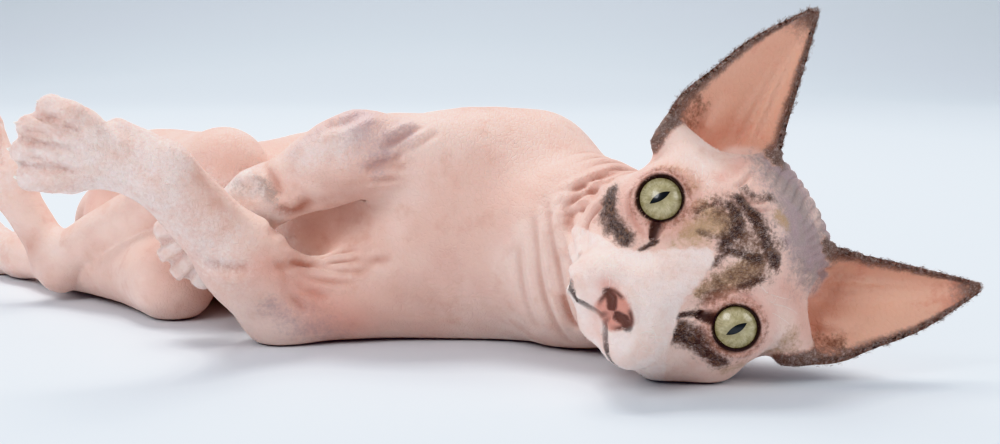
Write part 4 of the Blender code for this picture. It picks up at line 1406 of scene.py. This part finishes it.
def coat_markings(palette: Palette) -> bpy.types.ShaderNodeTree:
    """The group that skin and coat share: the colour of the markings, with painted shade in the creases, and
    how furred a place is.

    Args:
        palette: the colours.

    Returns:
        The group, with inputs Place, Ragged and Lighten, and outputs Color, Fur and Bare.
    """
    tree = bpy.data.node_groups.new("coat markings", "ShaderNodeTree")
    face = tree.interface
    face.new_socket("Place", in_out="INPUT", socket_type="NodeSocketVector")
    for name, value in (("Ragged", 0.5), ("Lighten", 0.0)):
        face.new_socket(name, in_out="INPUT", socket_type="NodeSocketFloat").default_value = value
    face.new_socket("Color", in_out="OUTPUT", socket_type="NodeSocketColor")
    face.new_socket("Fur", in_out="OUTPUT", socket_type="NodeSocketFloat")
    face.new_socket("Bare", in_out="OUTPUT", socket_type="NodeSocketFloat")
    w = Wiring(tree)
    given, out = w.add("NodeGroupInput"), w.add("NodeGroupOutput")
    where = given.outputs["Place"]
    clouds = w.noise(where, 26.0, 4.0)
    blotch = w.noise(where, 90.0, 5.0, 0.6)
    mottle = w.noise(w.stretched(where, (1.0, 0.6, 1.0)), 240.0, 4.0, 0.65)
    grain = w.noise(w.stretched(where, (1.0, 0.35, 1.0)), 900.0, 2.0, 0.7)
    ragged = w.math("MULTIPLY", w.math("SUBTRACT", grain, 0.5), given.outputs["Ragged"])
    ragged = w.math("ADD", ragged, w.math("MULTIPLY", w.math("SUBTRACT", mottle, 0.5), 1.1))

    def torn(name: str, low: float = 0.12, high: float = 0.85) -> Socket:
        """A mask with its edge broken up by the noise."""
        known = w.mask(name)
        within = w.math("MULTIPLY", ragged, w.ramp(known, 0.0, 0.15))
        return w.ramp(w.math("ADD", known, within), low, high)

    colour = w.mix(w.ramp(clouds, 0.38, 0.66), palette.flesh, palette.pale)
    colour = w.mix(w.math("MULTIPLY", w.ramp(blotch, 0.52, 0.75), 0.45), colour, palette.ruddy)
    # painted shade: the creases darkened towards the fold colour by their depth
    colour = w.mix(w.math("MULTIPLY", w.mask("crease"), 0.8), colour, palette.fold)
    masks = {name: torn(name) for name in ("grey", "tan", "brown", "dark")}
    masks["white"], masks["edge"] = torn("white", 0.0, 1.05), torn("edge", 0.0, 1.0)
    colour = w.mix(w.math("MULTIPLY", torn("mauve", 0.0, 1.0), 0.8), colour, palette.mauve)
    colour = w.mix(w.math("MULTIPLY", w.mask("inside"), 0.95), colour, palette.inside)
    veins = w.noise(where, 60.0, 5.0, 0.7)
    streak = w.math("MULTIPLY", w.ramp(veins, 0.52, 0.66), w.mask("inside"))
    colour = w.mix(w.math("MULTIPLY", streak, 0.5), colour, palette.vein)
    colour = w.mix(masks["grey"], colour, w.mix(w.ramp(blotch, 0.4, 0.62), palette.grey, palette.mauve))
    colour = w.mix(masks["tan"], colour, palette.fawn)
    colour = w.mix(masks["brown"], colour, palette.brown)
    mottled = w.mix(w.ramp(grain, 0.42, 0.72), palette.dark, palette.brown)
    colour = w.mix(masks["dark"], colour, mottled)
    bleached = w.mix(w.ramp(blotch, 0.4, 0.75), palette.white, palette.pale)
    colour = w.mix(w.math("MULTIPLY", masks["white"], 0.88), colour, bleached)
    colour = w.mix(w.math("MULTIPLY", w.mask("pink"), 0.7), colour, palette.rose)
    colour = w.mix(w.mask("nose"), colour, palette.nose)
    colour = w.mix(masks["edge"], colour, w.mix(w.ramp(grain, 0.45, 0.8), palette.edge, palette.grey))
    colour = w.mix(w.mask("rim"), colour, palette.rim)
    tips = w.mix(given.outputs["Lighten"], colour, palette.white)
    fur = masks["grey"]
    for name in ("tan", "brown", "dark", "white", "edge"):
        fur = w.math("MAXIMUM", fur, masks[name])
    bare = w.math("MAXIMUM", w.mask("inside"), w.mask("rim"))
    w.feed(out.inputs["Color"], tips)
    w.feed(out.inputs["Fur"], fur)
    w.feed(out.inputs["Bare"], bare)
    return tree


def skin_relief() -> bpy.types.ShaderNodeTree:
    """The group for the skin's fine relief: pores, cracks and lines, as a height."""
    tree = bpy.data.node_groups.new("skin relief", "ShaderNodeTree")
    face = tree.interface
    face.new_socket("Place", in_out="INPUT", socket_type="NodeSocketVector")
    face.new_socket("Fur", in_out="INPUT", socket_type="NodeSocketFloat")
    face.new_socket("Height", in_out="OUTPUT", socket_type="NodeSocketFloat")
    w = Wiring(tree)
    given, out = w.add("NodeGroupInput"), w.add("NodeGroupOutput")
    where = given.outputs["Place"]
    cells = w.add("ShaderNodeTexVoronoi", feature="DISTANCE_TO_EDGE")
    w.feed(cells.inputs["Vector"], w.stretched(where, (1.0, 0.55, 0.8)))
    cells.inputs["Scale"].default_value = 620.0
    cracks = w.ramp(cells.outputs["Distance"], 0.0, 0.16)
    lines = w.noise(w.stretched(where, (1.0, 0.22, 0.5)), 420.0, 3.0, 0.6)
    hairs = w.noise(w.stretched(where, (1.0, 0.16, 0.7)), 1700.0, 2.0, 0.8)
    skin = w.math("ADD", w.math("MULTIPLY", cracks, 0.30), w.math("MULTIPLY", lines, 0.55))
    fur = w.math("MULTIPLY", hairs, w.math("ADD", w.math("MULTIPLY", given.outputs["Fur"], 0.9), 0.15))
    w.feed(out.inputs["Height"], w.math("ADD", skin, fur))
    return tree


@dataclass(frozen=True)
class SkinFinish:
    """Bare and downy skin, soft under the light."""

    roughness: tuple[float, float] = (0.46, 0.66)
    glow: float = 0.14  # how much light travels under the skin
    down: float = 0.22  # the sheen of the finest down
    relief: float = 0.00035

    def material(
        self, markings: bpy.types.ShaderNodeTree, relief: bpy.types.ShaderNodeTree
    ) -> bpy.types.Material:
        """The material, built from the two groups."""
        settings = {
            "Subsurface Weight": self.glow,
            "Subsurface Radius": (1.0, 0.35, 0.22),
            "Subsurface Scale": 0.004,
            "Sheen Weight": self.down,
            "Sheen Roughness": 0.45,
            "Sheen Tint": srgb(255, 240, 232),
            "Specular IOR Level": 0.38,
        }
        made, w, shader = new_material("sphynx skin", settings)
        where = w.add("ShaderNodeTexCoord").outputs["Object"]
        coat = w.add("ShaderNodeGroup", node_tree=markings)
        w.feed(coat.inputs["Place"], where)
        coat.inputs["Ragged"].default_value = 0.9
        fine = w.add("ShaderNodeGroup", node_tree=relief)
        w.feed(fine.inputs["Place"], where)
        w.feed(fine.inputs["Fur"], coat.outputs["Fur"])
        w.feed(shader.inputs["Base Color"], coat.outputs["Color"])
        spread = w.add("ShaderNodeMapRange")
        w.feed(spread.inputs["Value"], w.noise(where, 140.0, 4.0))
        spread.inputs["To Min"].default_value, spread.inputs["To Max"].default_value = self.roughness
        rough = w.math("ADD", spread.outputs["Result"], w.math("MULTIPLY", coat.outputs["Fur"], 0.15))
        w.feed(shader.inputs["Roughness"], w.math("MINIMUM", rough, 1.0))
        bump = w.add("ShaderNodeBump")
        bump.inputs["Distance"].default_value = self.relief
        bump.inputs["Strength"].default_value = 0.75
        w.feed(bump.inputs["Height"], fine.outputs["Height"])
        w.feed(shader.inputs["Normal"], bump.outputs["Normal"])
        return made


@dataclass(frozen=True)
class CoatFinish:
    """The short coat's hairs, in the colour of the skin that they stand on."""

    roughness: float = 0.7

    def material(self, markings: bpy.types.ShaderNodeTree) -> bpy.types.Material:
        """The material, built from the markings."""
        settings = {"Roughness": self.roughness, "Sheen Weight": 0.2, "Specular IOR Level": 0.25}
        made, w, shader = new_material("short coat", settings)
        where = w.add("ShaderNodeTexCoord").outputs["Object"]
        coat = w.add("ShaderNodeGroup", node_tree=markings)
        w.feed(coat.inputs["Place"], where)
        coat.inputs["Ragged"].default_value = 1.1
        w.feed(coat.inputs["Lighten"], w.math("MULTIPLY", w.mask("tip"), 0.35))
        w.feed(shader.inputs["Base Color"], coat.outputs["Color"])
        return made


@dataclass(frozen=True)
class EyeFinish:
    """A wet eye: pale green iris with radial fibres, a dark ring and a slit pupil."""

    iris: Colour = srgb(176, 164, 122)
    olive: Colour = srgb(120, 106, 72)
    fibre: Colour = srgb(200, 188, 150)
    ring: Colour = srgb(34, 26, 24)
    pupil: Colour = srgb(6, 5, 6)
    reach: float = 8.3  # the iris's radius
    slit: tuple[float, float] = (1.15, 3.7)  # the pupil's half sizes

    def material(self) -> bpy.types.Material:
        """The material, painted over the map that the eyeball carries in millimetres."""
        settings = {
            "Roughness": 0.28,
            "Coat Weight": 1.0,
            "Coat Roughness": 0.02,
            "Coat IOR": 1.38,
            "Specular IOR Level": 0.5,
        }
        made, w, shader = new_material("eye", settings)
        across, up = w.mask("eye_across"), w.mask("eye_up")
        spot = w.add("ShaderNodeCombineXYZ")
        w.feed(spot.inputs[0], across)
        w.feed(spot.inputs[1], up)
        squares = w.math("ADD", w.math("MULTIPLY", across, across), w.math("MULTIPLY", up, up))
        radius = w.math("SQRT", squares)
        turn = w.math("ARCTAN2", up, across)
        polar = w.add("ShaderNodeCombineXYZ")
        w.feed(polar.inputs[0], w.math("MULTIPLY", turn, 5.5))
        w.feed(polar.inputs[1], w.math("MULTIPLY", radius, 0.28))
        fibres = w.noise(polar.outputs[0], 2.6, 5.0, 0.65)
        clouds = w.noise(spot.outputs[0], 0.55, 3.0)
        colour = w.mix(w.ramp(clouds, 0.35, 0.65), self.iris, self.fibre)
        colour = w.mix(w.math("MULTIPLY", w.ramp(fibres, 0.45, 0.72), 0.55), colour, self.olive)
        outer = w.ramp(radius, self.reach * 0.72, self.reach * 0.98)
        colour = w.mix(w.math("MULTIPLY", outer, 0.8), colour, self.olive)
        wide = w.math("DIVIDE", across, self.slit[0])
        tall = w.math("DIVIDE", up, self.slit[1])
        bow = w.math("ADD", w.math("ABSOLUTE", wide), w.math("MULTIPLY", tall, tall))
        inner = w.math("SUBTRACT", 1.0, w.ramp(bow, 1.2, 2.6))
        colour = w.mix(w.math("MULTIPLY", inner, 0.35), colour, self.olive)
        colour = w.mix(w.ramp(radius, self.reach * 0.97, self.reach * 1.04), colour, self.ring)
        colour = w.mix(w.math("SUBTRACT", 1.0, w.ramp(bow, 0.93, 1.05)), colour, self.pupil)
        w.feed(shader.inputs["Base Color"], colour)
        return made


@dataclass(frozen=True)
class HornFinish:
    """Pale, slightly clear horn for claws, or the stiff hair of whiskers."""

    name: str
    root: Colour
    tip: Colour
    roughness: float = 0.3

    def material(self) -> bpy.types.Material:
        """The material, from its root's colour to its tip's."""
        settings = {"Roughness": self.roughness, "Subsurface Weight": 0.1, "Subsurface Scale": 0.001}
        made, w, shader = new_material(self.name, settings)
        where = w.add("ShaderNodeTexCoord").outputs["Object"]
        grain = w.noise(w.stretched(where, (1.0, 0.2, 1.0)), 1500.0, 3.0)
        share = w.math("ADD", w.mask("tip"), w.math("MULTIPLY", w.math("SUBTRACT", grain, 0.5), 0.4))
        w.feed(shader.inputs["Base Color"], w.mix(w.ramp(share, 0.1, 0.9), self.root, self.tip))
        return made


def strengthen(masks: Masks, name: str, amount: np.ndarray) -> None:
    """Raises a mask to an amount wherever it is below it."""
    masks[name] = np.maximum(masks[name], amount)


def carry(mesh: bpy.types.Mesh, name: str, values: np.ndarray) -> None:
    """Stores a value on every point of a mesh."""
    layer = mesh.attributes.new(name, "FLOAT", "POINT")
    layer.data.foreach_set("value", np.asarray(values, np.float32))


FLESH_NODES = (
    "head", "neck", "torso", "tail", "left_ear", "right_ear", "left_foreleg", "right_foreleg",
    "left_forepaw", "right_forepaw", "left_hindleg", "right_hindleg", "left_hindfoot", "right_hindfoot",
)


@dataclass
class Skin:
    """The one skin over all the flesh."""

    sculptor: Sculptor
    material: bpy.types.Material

    def build(self) -> tuple[bpy.types.Object, Masks]:
        """The skin, marked and dressed, and its masks."""
        obj = self.sculptor.sculpted()
        crease = self.sculptor.wrinkle(obj)
        masks = self.sculptor.marks(obj, crease)
        for name, values in masks.items():
            carry(obj.data, name, values)
        obj.data.materials.append(self.material)
        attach(obj, BODY)
        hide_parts(*FLESH_NODES)
        log.info("skin: %d points", len(obj.data.vertices))
        return obj, masks


@dataclass
class Eyes:
    """The two eyeballs, each with a raised cornea."""

    anatomy: Anatomy
    material: bpy.types.Material
    rings: int = 64
    sides: int = 96
    bulge: float = 0.7
    cornea: float = math.radians(44)

    def ball(self, side: Side) -> bpy.types.Object:
        """One eyeball, which carries its own map in millimetres."""
        centre, axes = self.anatomy.eye_centre(side), self.anatomy.eye_axes(side)
        points, flat = [], []
        for i in range(self.rings + 1):
            polar = math.pi * i / self.rings
            raised = max(0.0, math.cos(min(polar / self.cornea, 1.0) * math.pi / 2))
            radius = self.anatomy.eye_radius - self.bulge * 0.6 + self.bulge * raised
            for k in range(self.sides):
                turn = 2 * math.pi * k / self.sides
                ring = math.sin(polar) * radius
                local = np.array([ring * math.cos(turn), math.cos(polar) * radius, ring * math.sin(turn)])
                points.append(centre + local @ axes)
                behind = max(0.0, polar - math.pi / 2)
                wide = self.anatomy.eye_radius * math.sin(min(polar, math.pi / 2)) + behind * 9
                flat.append((wide * math.cos(turn), wide * math.sin(turn)))
        faces = []
        for i in range(self.rings):
            for k in range(self.sides):
                a, b = i * self.sides + k, i * self.sides + (k + 1) % self.sides
                faces.append((a, b, b + self.sides, a + self.sides))
        mesh = mesh_of(f"{side.word}_eyeball", points, faces)
        flat = np.array(flat)
        carry(mesh, "eye_across", flat[:, 0])
        carry(mesh, "eye_up", flat[:, 1])
        bm = bmesh.new()
        bm.from_mesh(mesh)
        bmesh.ops.remove_doubles(bm, verts=bm.verts, dist=1e-7)
        bmesh.ops.recalc_face_normals(bm, faces=bm.faces)
        bm.to_mesh(mesh)
        bm.free()
        return add_object(f"{side.word}_eyeball", mesh)

    def build(self) -> None:
        """Both eyes, dressed."""
        for side in Side:
            obj = self.ball(side)
            obj.data.materials.append(self.material)
            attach(obj, BODY)
            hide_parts(f"{side.word}_eye")
            log.info("%s", obj.name)


@dataclass
class Strands:
    """Tapered round strands along given lines, joined in one mesh."""

    name: str
    material: bpy.types.Material
    sides: int = 6
    points: list[np.ndarray] = field(default_factory=list)
    faces: list[tuple[int, ...]] = field(default_factory=list)
    tips: list[float] = field(default_factory=list)

    def add(self, line: Sequence[np.ndarray], radii: Sequence[float]) -> None:
        """Adds one strand with a radius for each of its points."""
        line = [np.asarray(p, float) for p in line]
        start = len(self.points)
        side = None
        for i, (spot, radius) in enumerate(zip(line, radii)):
            way = unit(line[min(i + 1, len(line) - 1)] - line[max(i - 1, 0)])
            if side is None:
                side = unit(np.cross(way, (0.3, 0.9, 0.4)))
            side = unit(side - way * float(side @ way))
            other = np.cross(way, side)
            for k in range(self.sides):
                turn = 2 * math.pi * k / self.sides
                point = spot + radius * (side * math.cos(turn) + other * math.sin(turn))
                point[2] = max(point[2], 0.1 + 0.05 * math.sin(turn))  # stays off the floor
                self.points.append(point)
                self.tips.append(i / (len(line) - 1))
        for i in range(len(line) - 1):
            for k in range(self.sides):
                a, b = start + i * self.sides + k, start + i * self.sides + (k + 1) % self.sides
                self.faces.append((a, b, b + self.sides, a + self.sides))
        end = start + (len(line) - 1) * self.sides
        self.faces.append(tuple(range(start + self.sides - 1, start - 1, -1)))
        self.faces.append(tuple(range(end, end + self.sides)))

    def build(self) -> bpy.types.Object:
        """The joined strands as a piece."""
        mesh = mesh_of(self.name, self.points, self.faces)
        carry(mesh, "tip", self.tips)
        mesh.materials.append(self.material)
        obj = add_object(self.name, mesh)
        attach(obj, BODY)
        log.info("%s", self.name)
        return obj


@dataclass
class Claws:
    """The claws, mostly drawn in, one to each toe."""

    anatomy: Anatomy
    material: bpy.types.Material
    length: float = 5.0
    radius: float = 1.15

    def build(self) -> None:
        """All the claws as one piece."""
        strands = Strands("claws", self.material, sides=8)
        for paw in self.anatomy.paws.values():
            for index in range(len(paw.spread)):
                _, joint, tip = paw.toe(index)
                way = unit(tip - joint)
                down = unit(-paw.back - way * float(-paw.back @ way))
                start = tip + way * 2.2 + paw.back * 0.8
                line, radii = [], []
                for t in np.linspace(0, 1, 9):
                    ahead, drop = math.sin(t * 1.15) / 1.15, (1 - math.cos(t * 1.3)) / 1.3
                    line.append(start + way * self.length * ahead + down * self.length * drop)
                    radii.append(self.radius * (1 - t) ** 0.8 + 0.06)
                strands.add(line, radii)
        strands.build()


@dataclass
class Whiskers:
    """The few short, curled whiskers and brow hairs of the breed."""

    material: bpy.types.Material
    seed: int = 5
    radius: float = 0.07

    @staticmethod
    def curl(
        root: np.ndarray, way: np.ndarray, length: float, twist: float, rng: np.random.Generator
    ) -> list[np.ndarray]:
        """A line that leaves along a direction and bends into a curl."""
        side = unit(np.cross(way, rng.normal(size=3)))
        other = np.cross(way, side)
        line, spot, heading = [], root.copy(), way.copy()
        for i in range(17):
            line.append(spot.copy())
            angle = twist * i / 16
            lean = other * 0.25 * math.sin(angle * 0.7)
            heading = unit(way * math.cos(angle) + side * math.sin(angle) + lean)
            spot = spot + heading * length / 16
        return line

    def build(self, tree: BVHTree) -> None:
        """All the whiskers as one piece, rooted on the skin."""
        rng = np.random.default_rng(self.seed)
        strands = Strands("whiskers", self.material, sides=5)
        for s in (1, -1):
            for i in range(11):
                spot = HEAD.point(s * (9 + 1.5 * (i % 4)), 22, -24 - 2.6 * (i // 4))
                length, twist = 7 + 4 * rng.random(), 2.6 + 2.4 * rng.random()
                self.rooted(strands, tree, spot, length, twist, rng)
            for i in range(5):
                spot = HEAD.point(s * (17 + 2.2 * i), 8, 13.5 + 0.8 * (i % 2))
                length, twist = 6 + 3 * rng.random(), 1.2 + 1.5 * rng.random()
                self.rooted(strands, tree, spot, length, twist, rng)
        strands.build()

    def rooted(
        self,
        strands: Strands,
        tree: BVHTree,
        spot: np.ndarray,
        length: float,
        twist: float,
        rng: np.random.Generator,
    ) -> None:
        """Adds one hair at the skin's place nearest to a spot."""
        hit, normal, _, _ = tree.find_nearest(Vector(spot) * MM)
        root, away = np.array(hit) / MM, np.array(normal)
        way = unit(away + 0.35 * rng.normal(size=3))
        line = self.curl(root - away * 0.4, way, length, twist, rng)
        strands.add(line, [self.radius * (1 - 0.8 * t) for t in np.linspace(0, 1, len(line))])


@dataclass(frozen=True)
class CoatArea:
    """One piece of the coat: where it grows, how many tufts it has and how long they are."""

    name: str
    tufts: int
    length: float
    width: float
    weight: Callable[[np.ndarray, Masks], np.ndarray]


def head_weight(p: np.ndarray, masks: Masks) -> np.ndarray:
    """The short coat of the face and crown, without ears, eyes and nose leather."""
    local = HEAD.local(p)
    on = (local[:, 1] > -45) & (local[:, 2] > -46) & (p[:, 0] > 14)
    fur = 0.25 + np.maximum.reduce([masks["dark"], masks["tan"], 0.6 * masks["grey"], 0.7 * masks["white"]])
    return on * fur * (1 - masks["inside"]) * (1 - masks["edge"]) * (1 - masks["rim"])


def ear_weight(p: np.ndarray, masks: Masks) -> np.ndarray:
    """The coat of the ears' rims and backs."""
    return np.maximum(masks["edge"], 0.10 * masks["inside"]) * (1 - masks["rim"])


def paw_weight(p: np.ndarray, masks: Masks) -> np.ndarray:
    """The pale coat of the paws and the furred marks of the limbs."""
    away = p[:, 0] < 10
    return away * np.maximum(masks["white"], masks["brown"]) * (1 - 0.9 * masks["pink"])


def body_weight(p: np.ndarray, masks: Masks) -> np.ndarray:
    """The thin down of the trunk, limbs and tail."""
    return np.where(HEAD.local(p)[:, 1] > -30, 0.0, 1.0) * (1 - masks["inside"])


COAT = (
    CoatArea("coat_head", 21000, 1.1, 0.12, head_weight),
    CoatArea("coat_ears", 14000, 0.9, 0.09, ear_weight),
    CoatArea("coat_paws", 18000, 1.3, 0.11, paw_weight),
    CoatArea("coat_body", 15000, 1.0, 0.14, body_weight),
)


@dataclass
class Coat:
    """Short tufts of fine blades over the skin, with its markings."""

    skin: bpy.types.Object
    masks: Masks
    material: bpy.types.Material
    paws: dict[str, Paw]
    blades: int = 3
    patch: float = 0.003  # a blade's size on the flat map
    map_faces: int = 6000

    def unwrap(self) -> tuple[BVHTree, bpy.types.Mesh, np.ndarray]:
        """The flat map of a coarse copy of the skin.

        Returns:
            The copy's tree of faces, its mesh, and the flat places of its corners.
        """
        copy = add_object("unwrap", self.skin.data.copy())
        thin = copy.modifiers.new("thin", "DECIMATE")
        thin.ratio = self.map_faces / (2 * len(copy.data.polygons))
        thin.use_collapse_triangulate = True
        apply_modifiers(copy)
        copy.data.uv_layers.new(name="flat")
        bpy.ops.object.select_all(action="DESELECT")
        copy.select_set(True)
        bpy.context.view_layer.objects.active = copy
        bpy.ops.object.mode_set(mode="EDIT")
        bpy.ops.mesh.select_all(action="SELECT")
        bpy.ops.uv.smart_project(angle_limit=math.radians(66), island_margin=0.004)
        bpy.ops.object.mode_set(mode="OBJECT")
        layer = copy.data.uv_layers.active
        flat = np.empty(len(copy.data.loops) * 2)
        layer.data.foreach_get("uv", flat)
        tree = BVHTree.FromObject(copy, bpy.context.evaluated_depsgraph_get())
        mesh = copy.data
        bpy.data.objects.remove(copy)
        return tree, mesh, flat.reshape(-1, 2)

    def flow(self, p: np.ndarray, away: np.ndarray) -> np.ndarray:
        """The way the coat lies at each point: back over the head, down the limbs, out to an ear's tip."""
        local = HEAD.local(p)
        on_head = smooth(-45, -25, local[:, 1]) * (p[:, 0] > 14)
        back = np.array([0.0, -0.75, 0.65]) @ HEAD.axes
        body = unit((-0.80, 0.55, -0.1))
        way = body * (1 - on_head)[:, None] + back * on_head[:, None]
        for side in Side:
            s = side.value
            base, tip = HEAD.point(s * 27, -14, 26), HEAD.point(s * 52, -25, 76)
            near = smooth(0.02, 0.2, (p - base) @ unit(tip - base) / 54) * (local[:, 0] * s > 8)
            way = way * (1 - near)[:, None] + unit(tip - base) * near[:, None]
        for paw in self.paws.values():
            reach = np.linalg.norm(p - (paw.start + paw.end) / 2, axis=1)
            near = 1 - smooth(paw.length * 0.7, paw.length * 1.1, reach)
            way = way * (1 - near)[:, None] + paw.along * near[:, None]
        way = way - away * np.sum(way * away, axis=1)[:, None]
        return way / np.maximum(np.linalg.norm(way, axis=1), 1e-6)[:, None]

    def build(self) -> None:
        """Every area of the coat, each as a piece."""
        tree, flat_mesh, flat = self.unwrap()
        mesh = self.skin.data
        points, away = coordinates(mesh), normals(mesh)
        loops = np.empty(len(mesh.loops), int)
        mesh.loops.foreach_get("vertex_index", loops)
        starts = np.empty(len(mesh.polygons), int)
        mesh.polygons.foreach_get("loop_start", starts)
        area = np.empty(len(mesh.polygons))
        mesh.polygons.foreach_get("area", area)
        corner = loops[starts]
        for index, item in enumerate(COAT):
            rng = np.random.default_rng(40 + index)
            weight = (item.weight(points, self.masks)[corner] * area).clip(0)
            weight *= points[corner, 2] > 2.5
            share = weight / weight.sum()
            count = item.tufts // 1
            chosen = rng.choice(len(corner), size=count, p=share)
            roots = corner[chosen]
            self.grow(item, roots, points, away, rng, (tree, flat_mesh, flat))

    def grow(
        self,
        item: CoatArea,
        roots: np.ndarray,
        points: np.ndarray,
        away: np.ndarray,
        rng: np.random.Generator,
        unwrap: tuple[BVHTree, bpy.types.Mesh, np.ndarray],
    ) -> None:
        """One piece of the coat.

        Args:
            item: the area.
            roots: the numbers of the skin's points that tufts grow at.
            points: the skin's points.
            away: its normals.
            rng: the source of chance.
            unwrap: the skin's flat map.
        """
        roots = np.repeat(roots, self.blades)
        count = len(roots)
        out = away[roots]
        lie = self.flow(points[roots], out)
        cross = np.cross(out, lie)
        ahead, aside = rng.normal(0, 0.45, (count, 1)), rng.normal(0, 0.45, (count, 1))
        base = points[roots] + lie * ahead + cross * aside
        sway, rise = rng.normal(0, 0.25, (count, 1)), rng.uniform(0.12, 0.5, (count, 1))
        way = unit_rows(lie + cross * sway + out * rise)
        side = unit_rows(np.cross(way, out)) * item.width / 2
        long = item.length * rng.uniform(0.6, 1.25, (count, 1))
        root = base - out * 0.12
        middle = root + way * long * 0.55
        tip = middle + unit_rows(way + lie * 0.5 - out * 0.15) * long * 0.45
        narrow = side * 0.7
        corners = np.stack([root - side, root + side, middle + narrow, middle - narrow, tip], axis=1)
        corners[:, :, 2] = np.maximum(corners[:, :, 2], 0.05)
        mesh = bpy.data.meshes.new(item.name)
        blade = np.array([0, 1, 2, 0, 2, 3, 3, 2, 4])
        triangles = (np.arange(count)[:, None] * 5 + blade).reshape(-1, 3)
        mesh.from_pydata((corners.reshape(-1, 3) * MM).tolist(), [], triangles.tolist())
        for name in MASKS:
            carry(mesh, name, np.repeat(self.masks[name][roots], 5))
        carry(mesh, "tip", np.tile([0.0, 0.0, 0.5, 0.5, 1.0], count))
        self.lay_flat(mesh, points[roots], triangles, unwrap)
        mesh.materials.append(self.material)
        mesh.shade_smooth()
        obj = add_object(item.name, mesh)
        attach(obj, BODY)
        log.info("%s: %d blades", item.name, count)

    def lay_flat(
        self,
        mesh: bpy.types.Mesh,
        roots: np.ndarray,
        triangles: np.ndarray,
        unwrap: tuple[BVHTree, bpy.types.Mesh, np.ndarray],
    ) -> None:
        """Gives each blade its patch at its root's place on the skin's flat map."""
        tree, flat_mesh, flat = unwrap
        spots = np.empty((len(roots), 2))
        for i in range(0, len(roots), self.blades):
            hit, _, face, _ = tree.find_nearest(Vector(roots[i]) * MM)
            polygon = flat_mesh.polygons[face]
            a, b, c = (np.array(flat_mesh.vertices[v].co) for v in polygon.vertices[:3])
            first, second, q = b - a, c - a, np.array(hit) - a
            d11, d12, d22 = first @ first, first @ second, second @ second
            q1, q2 = q @ first, q @ second
            size = max(d11 * d22 - d12 * d12, 1e-18)
            v, u = (d22 * q1 - d12 * q2) / size, (d11 * q2 - d12 * q1) / size
            start = polygon.loop_start
            spots[i : i + self.blades] = flat[start] * (1 - v - u) + flat[start + 1] * v + flat[start + 2] * u
        half = self.patch / 2
        shape = np.array([(-half, -half), (half, -half), (half * 0.7, 0), (-half * 0.7, 0), (0, half)])
        corner = (spots[:, None, :] + shape[None]).reshape(-1, 2)
        layer = mesh.uv_layers.new(name="OFBake")
        layer.data.foreach_set("uv", corner[triangles.reshape(-1)].astype(np.float32).ravel())


def unit_rows(v: np.ndarray) -> np.ndarray:
    """Each row at length one."""
    return v / np.maximum(np.linalg.norm(v, axis=1), 1e-9)[:, None]


@dataclass
class Studio:
    """The pale floor, the soft lights and the photograph's camera."""

    lens: Lens = Lens()
    floor: Colour = srgb(226, 232, 238)

    def ground(self) -> None:
        """A wide floor that curves up behind."""
        bm = bmesh.new()
        profile = [(-3.0, 0.0), (1.2, 0.0)]
        turns = np.linspace(0.1, math.pi / 2, 12)
        profile += [(1.2 + 0.8 * math.sin(t), 0.8 - 0.8 * math.cos(t)) for t in turns]
        profile.append((2.0, 3.5))
        rows = [[bm.verts.new((x, y, z - 0.0005)) for y, z in profile] for x in (-4.0, 4.0)]
        for i in range(len(profile) - 1):
            bm.faces.new((rows[0][i], rows[1][i], rows[1][i + 1], rows[0][i + 1]))
        mesh = bpy.data.meshes.new("floor")
        bm.to_mesh(mesh)
        bm.free()
        mesh.shade_smooth()
        mesh.materials.append(new_material("floor paper", {"Base Color": self.floor, "Roughness": 0.85})[0])
        add_object("floor", mesh)

    @staticmethod
    def light(name: str, at: Point, size: float, watts: float, colour: Point) -> None:
        """One soft square light, turned to the animal."""
        lamp = bpy.data.lights.new(name, "AREA")
        lamp.energy, lamp.size, lamp.color = watts, size, colour
        obj = bpy.data.objects.new(name, lamp)
        bpy.context.scene.collection.objects.link(obj)
        obj.location = at
        obj.rotation_euler = (Vector((0, 0, 0.05)) - Vector(at)).to_track_quat("-Z", "Y").to_euler()

    def build(self) -> None:
        """Floor, lights, surroundings and camera."""
        self.ground()
        self.light("window", (-0.25, 0.7, 1.15), 0.8, 19.0, (1.0, 0.985, 0.96))
        self.light("front", (-0.75, -1.0, 0.95), 0.7, 9.0, (0.97, 0.98, 1.0))
        self.light("side", (1.3, -0.7, 0.8), 0.8, 6.0, (1.0, 0.99, 0.97))
        world = bpy.data.worlds.new("surroundings")
        world.use_nodes = True
        world.node_tree.nodes["Background"].inputs["Color"].default_value = srgb(222, 230, 240)
        world.node_tree.nodes["Background"].inputs["Strength"].default_value = 0.5
        bpy.context.scene.world = world
        bpy.context.scene.view_settings.view_transform = "Khronos PBR Neutral"
        camera = bpy.data.cameras.new("camera")
        camera.lens, camera.sensor_width = self.lens.focal, self.lens.sensor
        obj = bpy.data.objects.new("camera", camera)
        obj.location = Vector(self.lens.at) * MM
        obj.rotation_euler = (math.radians(self.lens.tilt), 0, 0)
        bpy.context.scene.collection.objects.link(obj)
        bpy.context.scene.camera = obj


def main() -> None:
    """Builds the pieces in order."""
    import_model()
    anatomy = Anatomy()
    flesh = Flesh(anatomy, [EarSheet(side) for side in Side])
    markings, relief = coat_markings(Palette()), skin_relief()
    skin, masks = Skin(Sculptor(flesh), SkinFinish().material(markings, relief)).build()
    Eyes(anatomy, EyeFinish().material()).build()
    tree = BVHTree.FromObject(skin, bpy.context.evaluated_depsgraph_get())
    claw = HornFinish("claw horn", srgb(232, 206, 192), srgb(250, 244, 236))
    Claws(anatomy, claw.material()).build()
    hair = HornFinish("whisker hair", srgb(235, 225, 218), srgb(250, 246, 242), 0.45)
    Whiskers(hair.material()).build(tree)
    Coat(skin, masks, CoatFinish().material(markings), anatomy.paws).build()
    Studio().build()


if __name__ == "__main__":
    logging.basicConfig(level=logging.INFO, format="%(message)s")
    main()
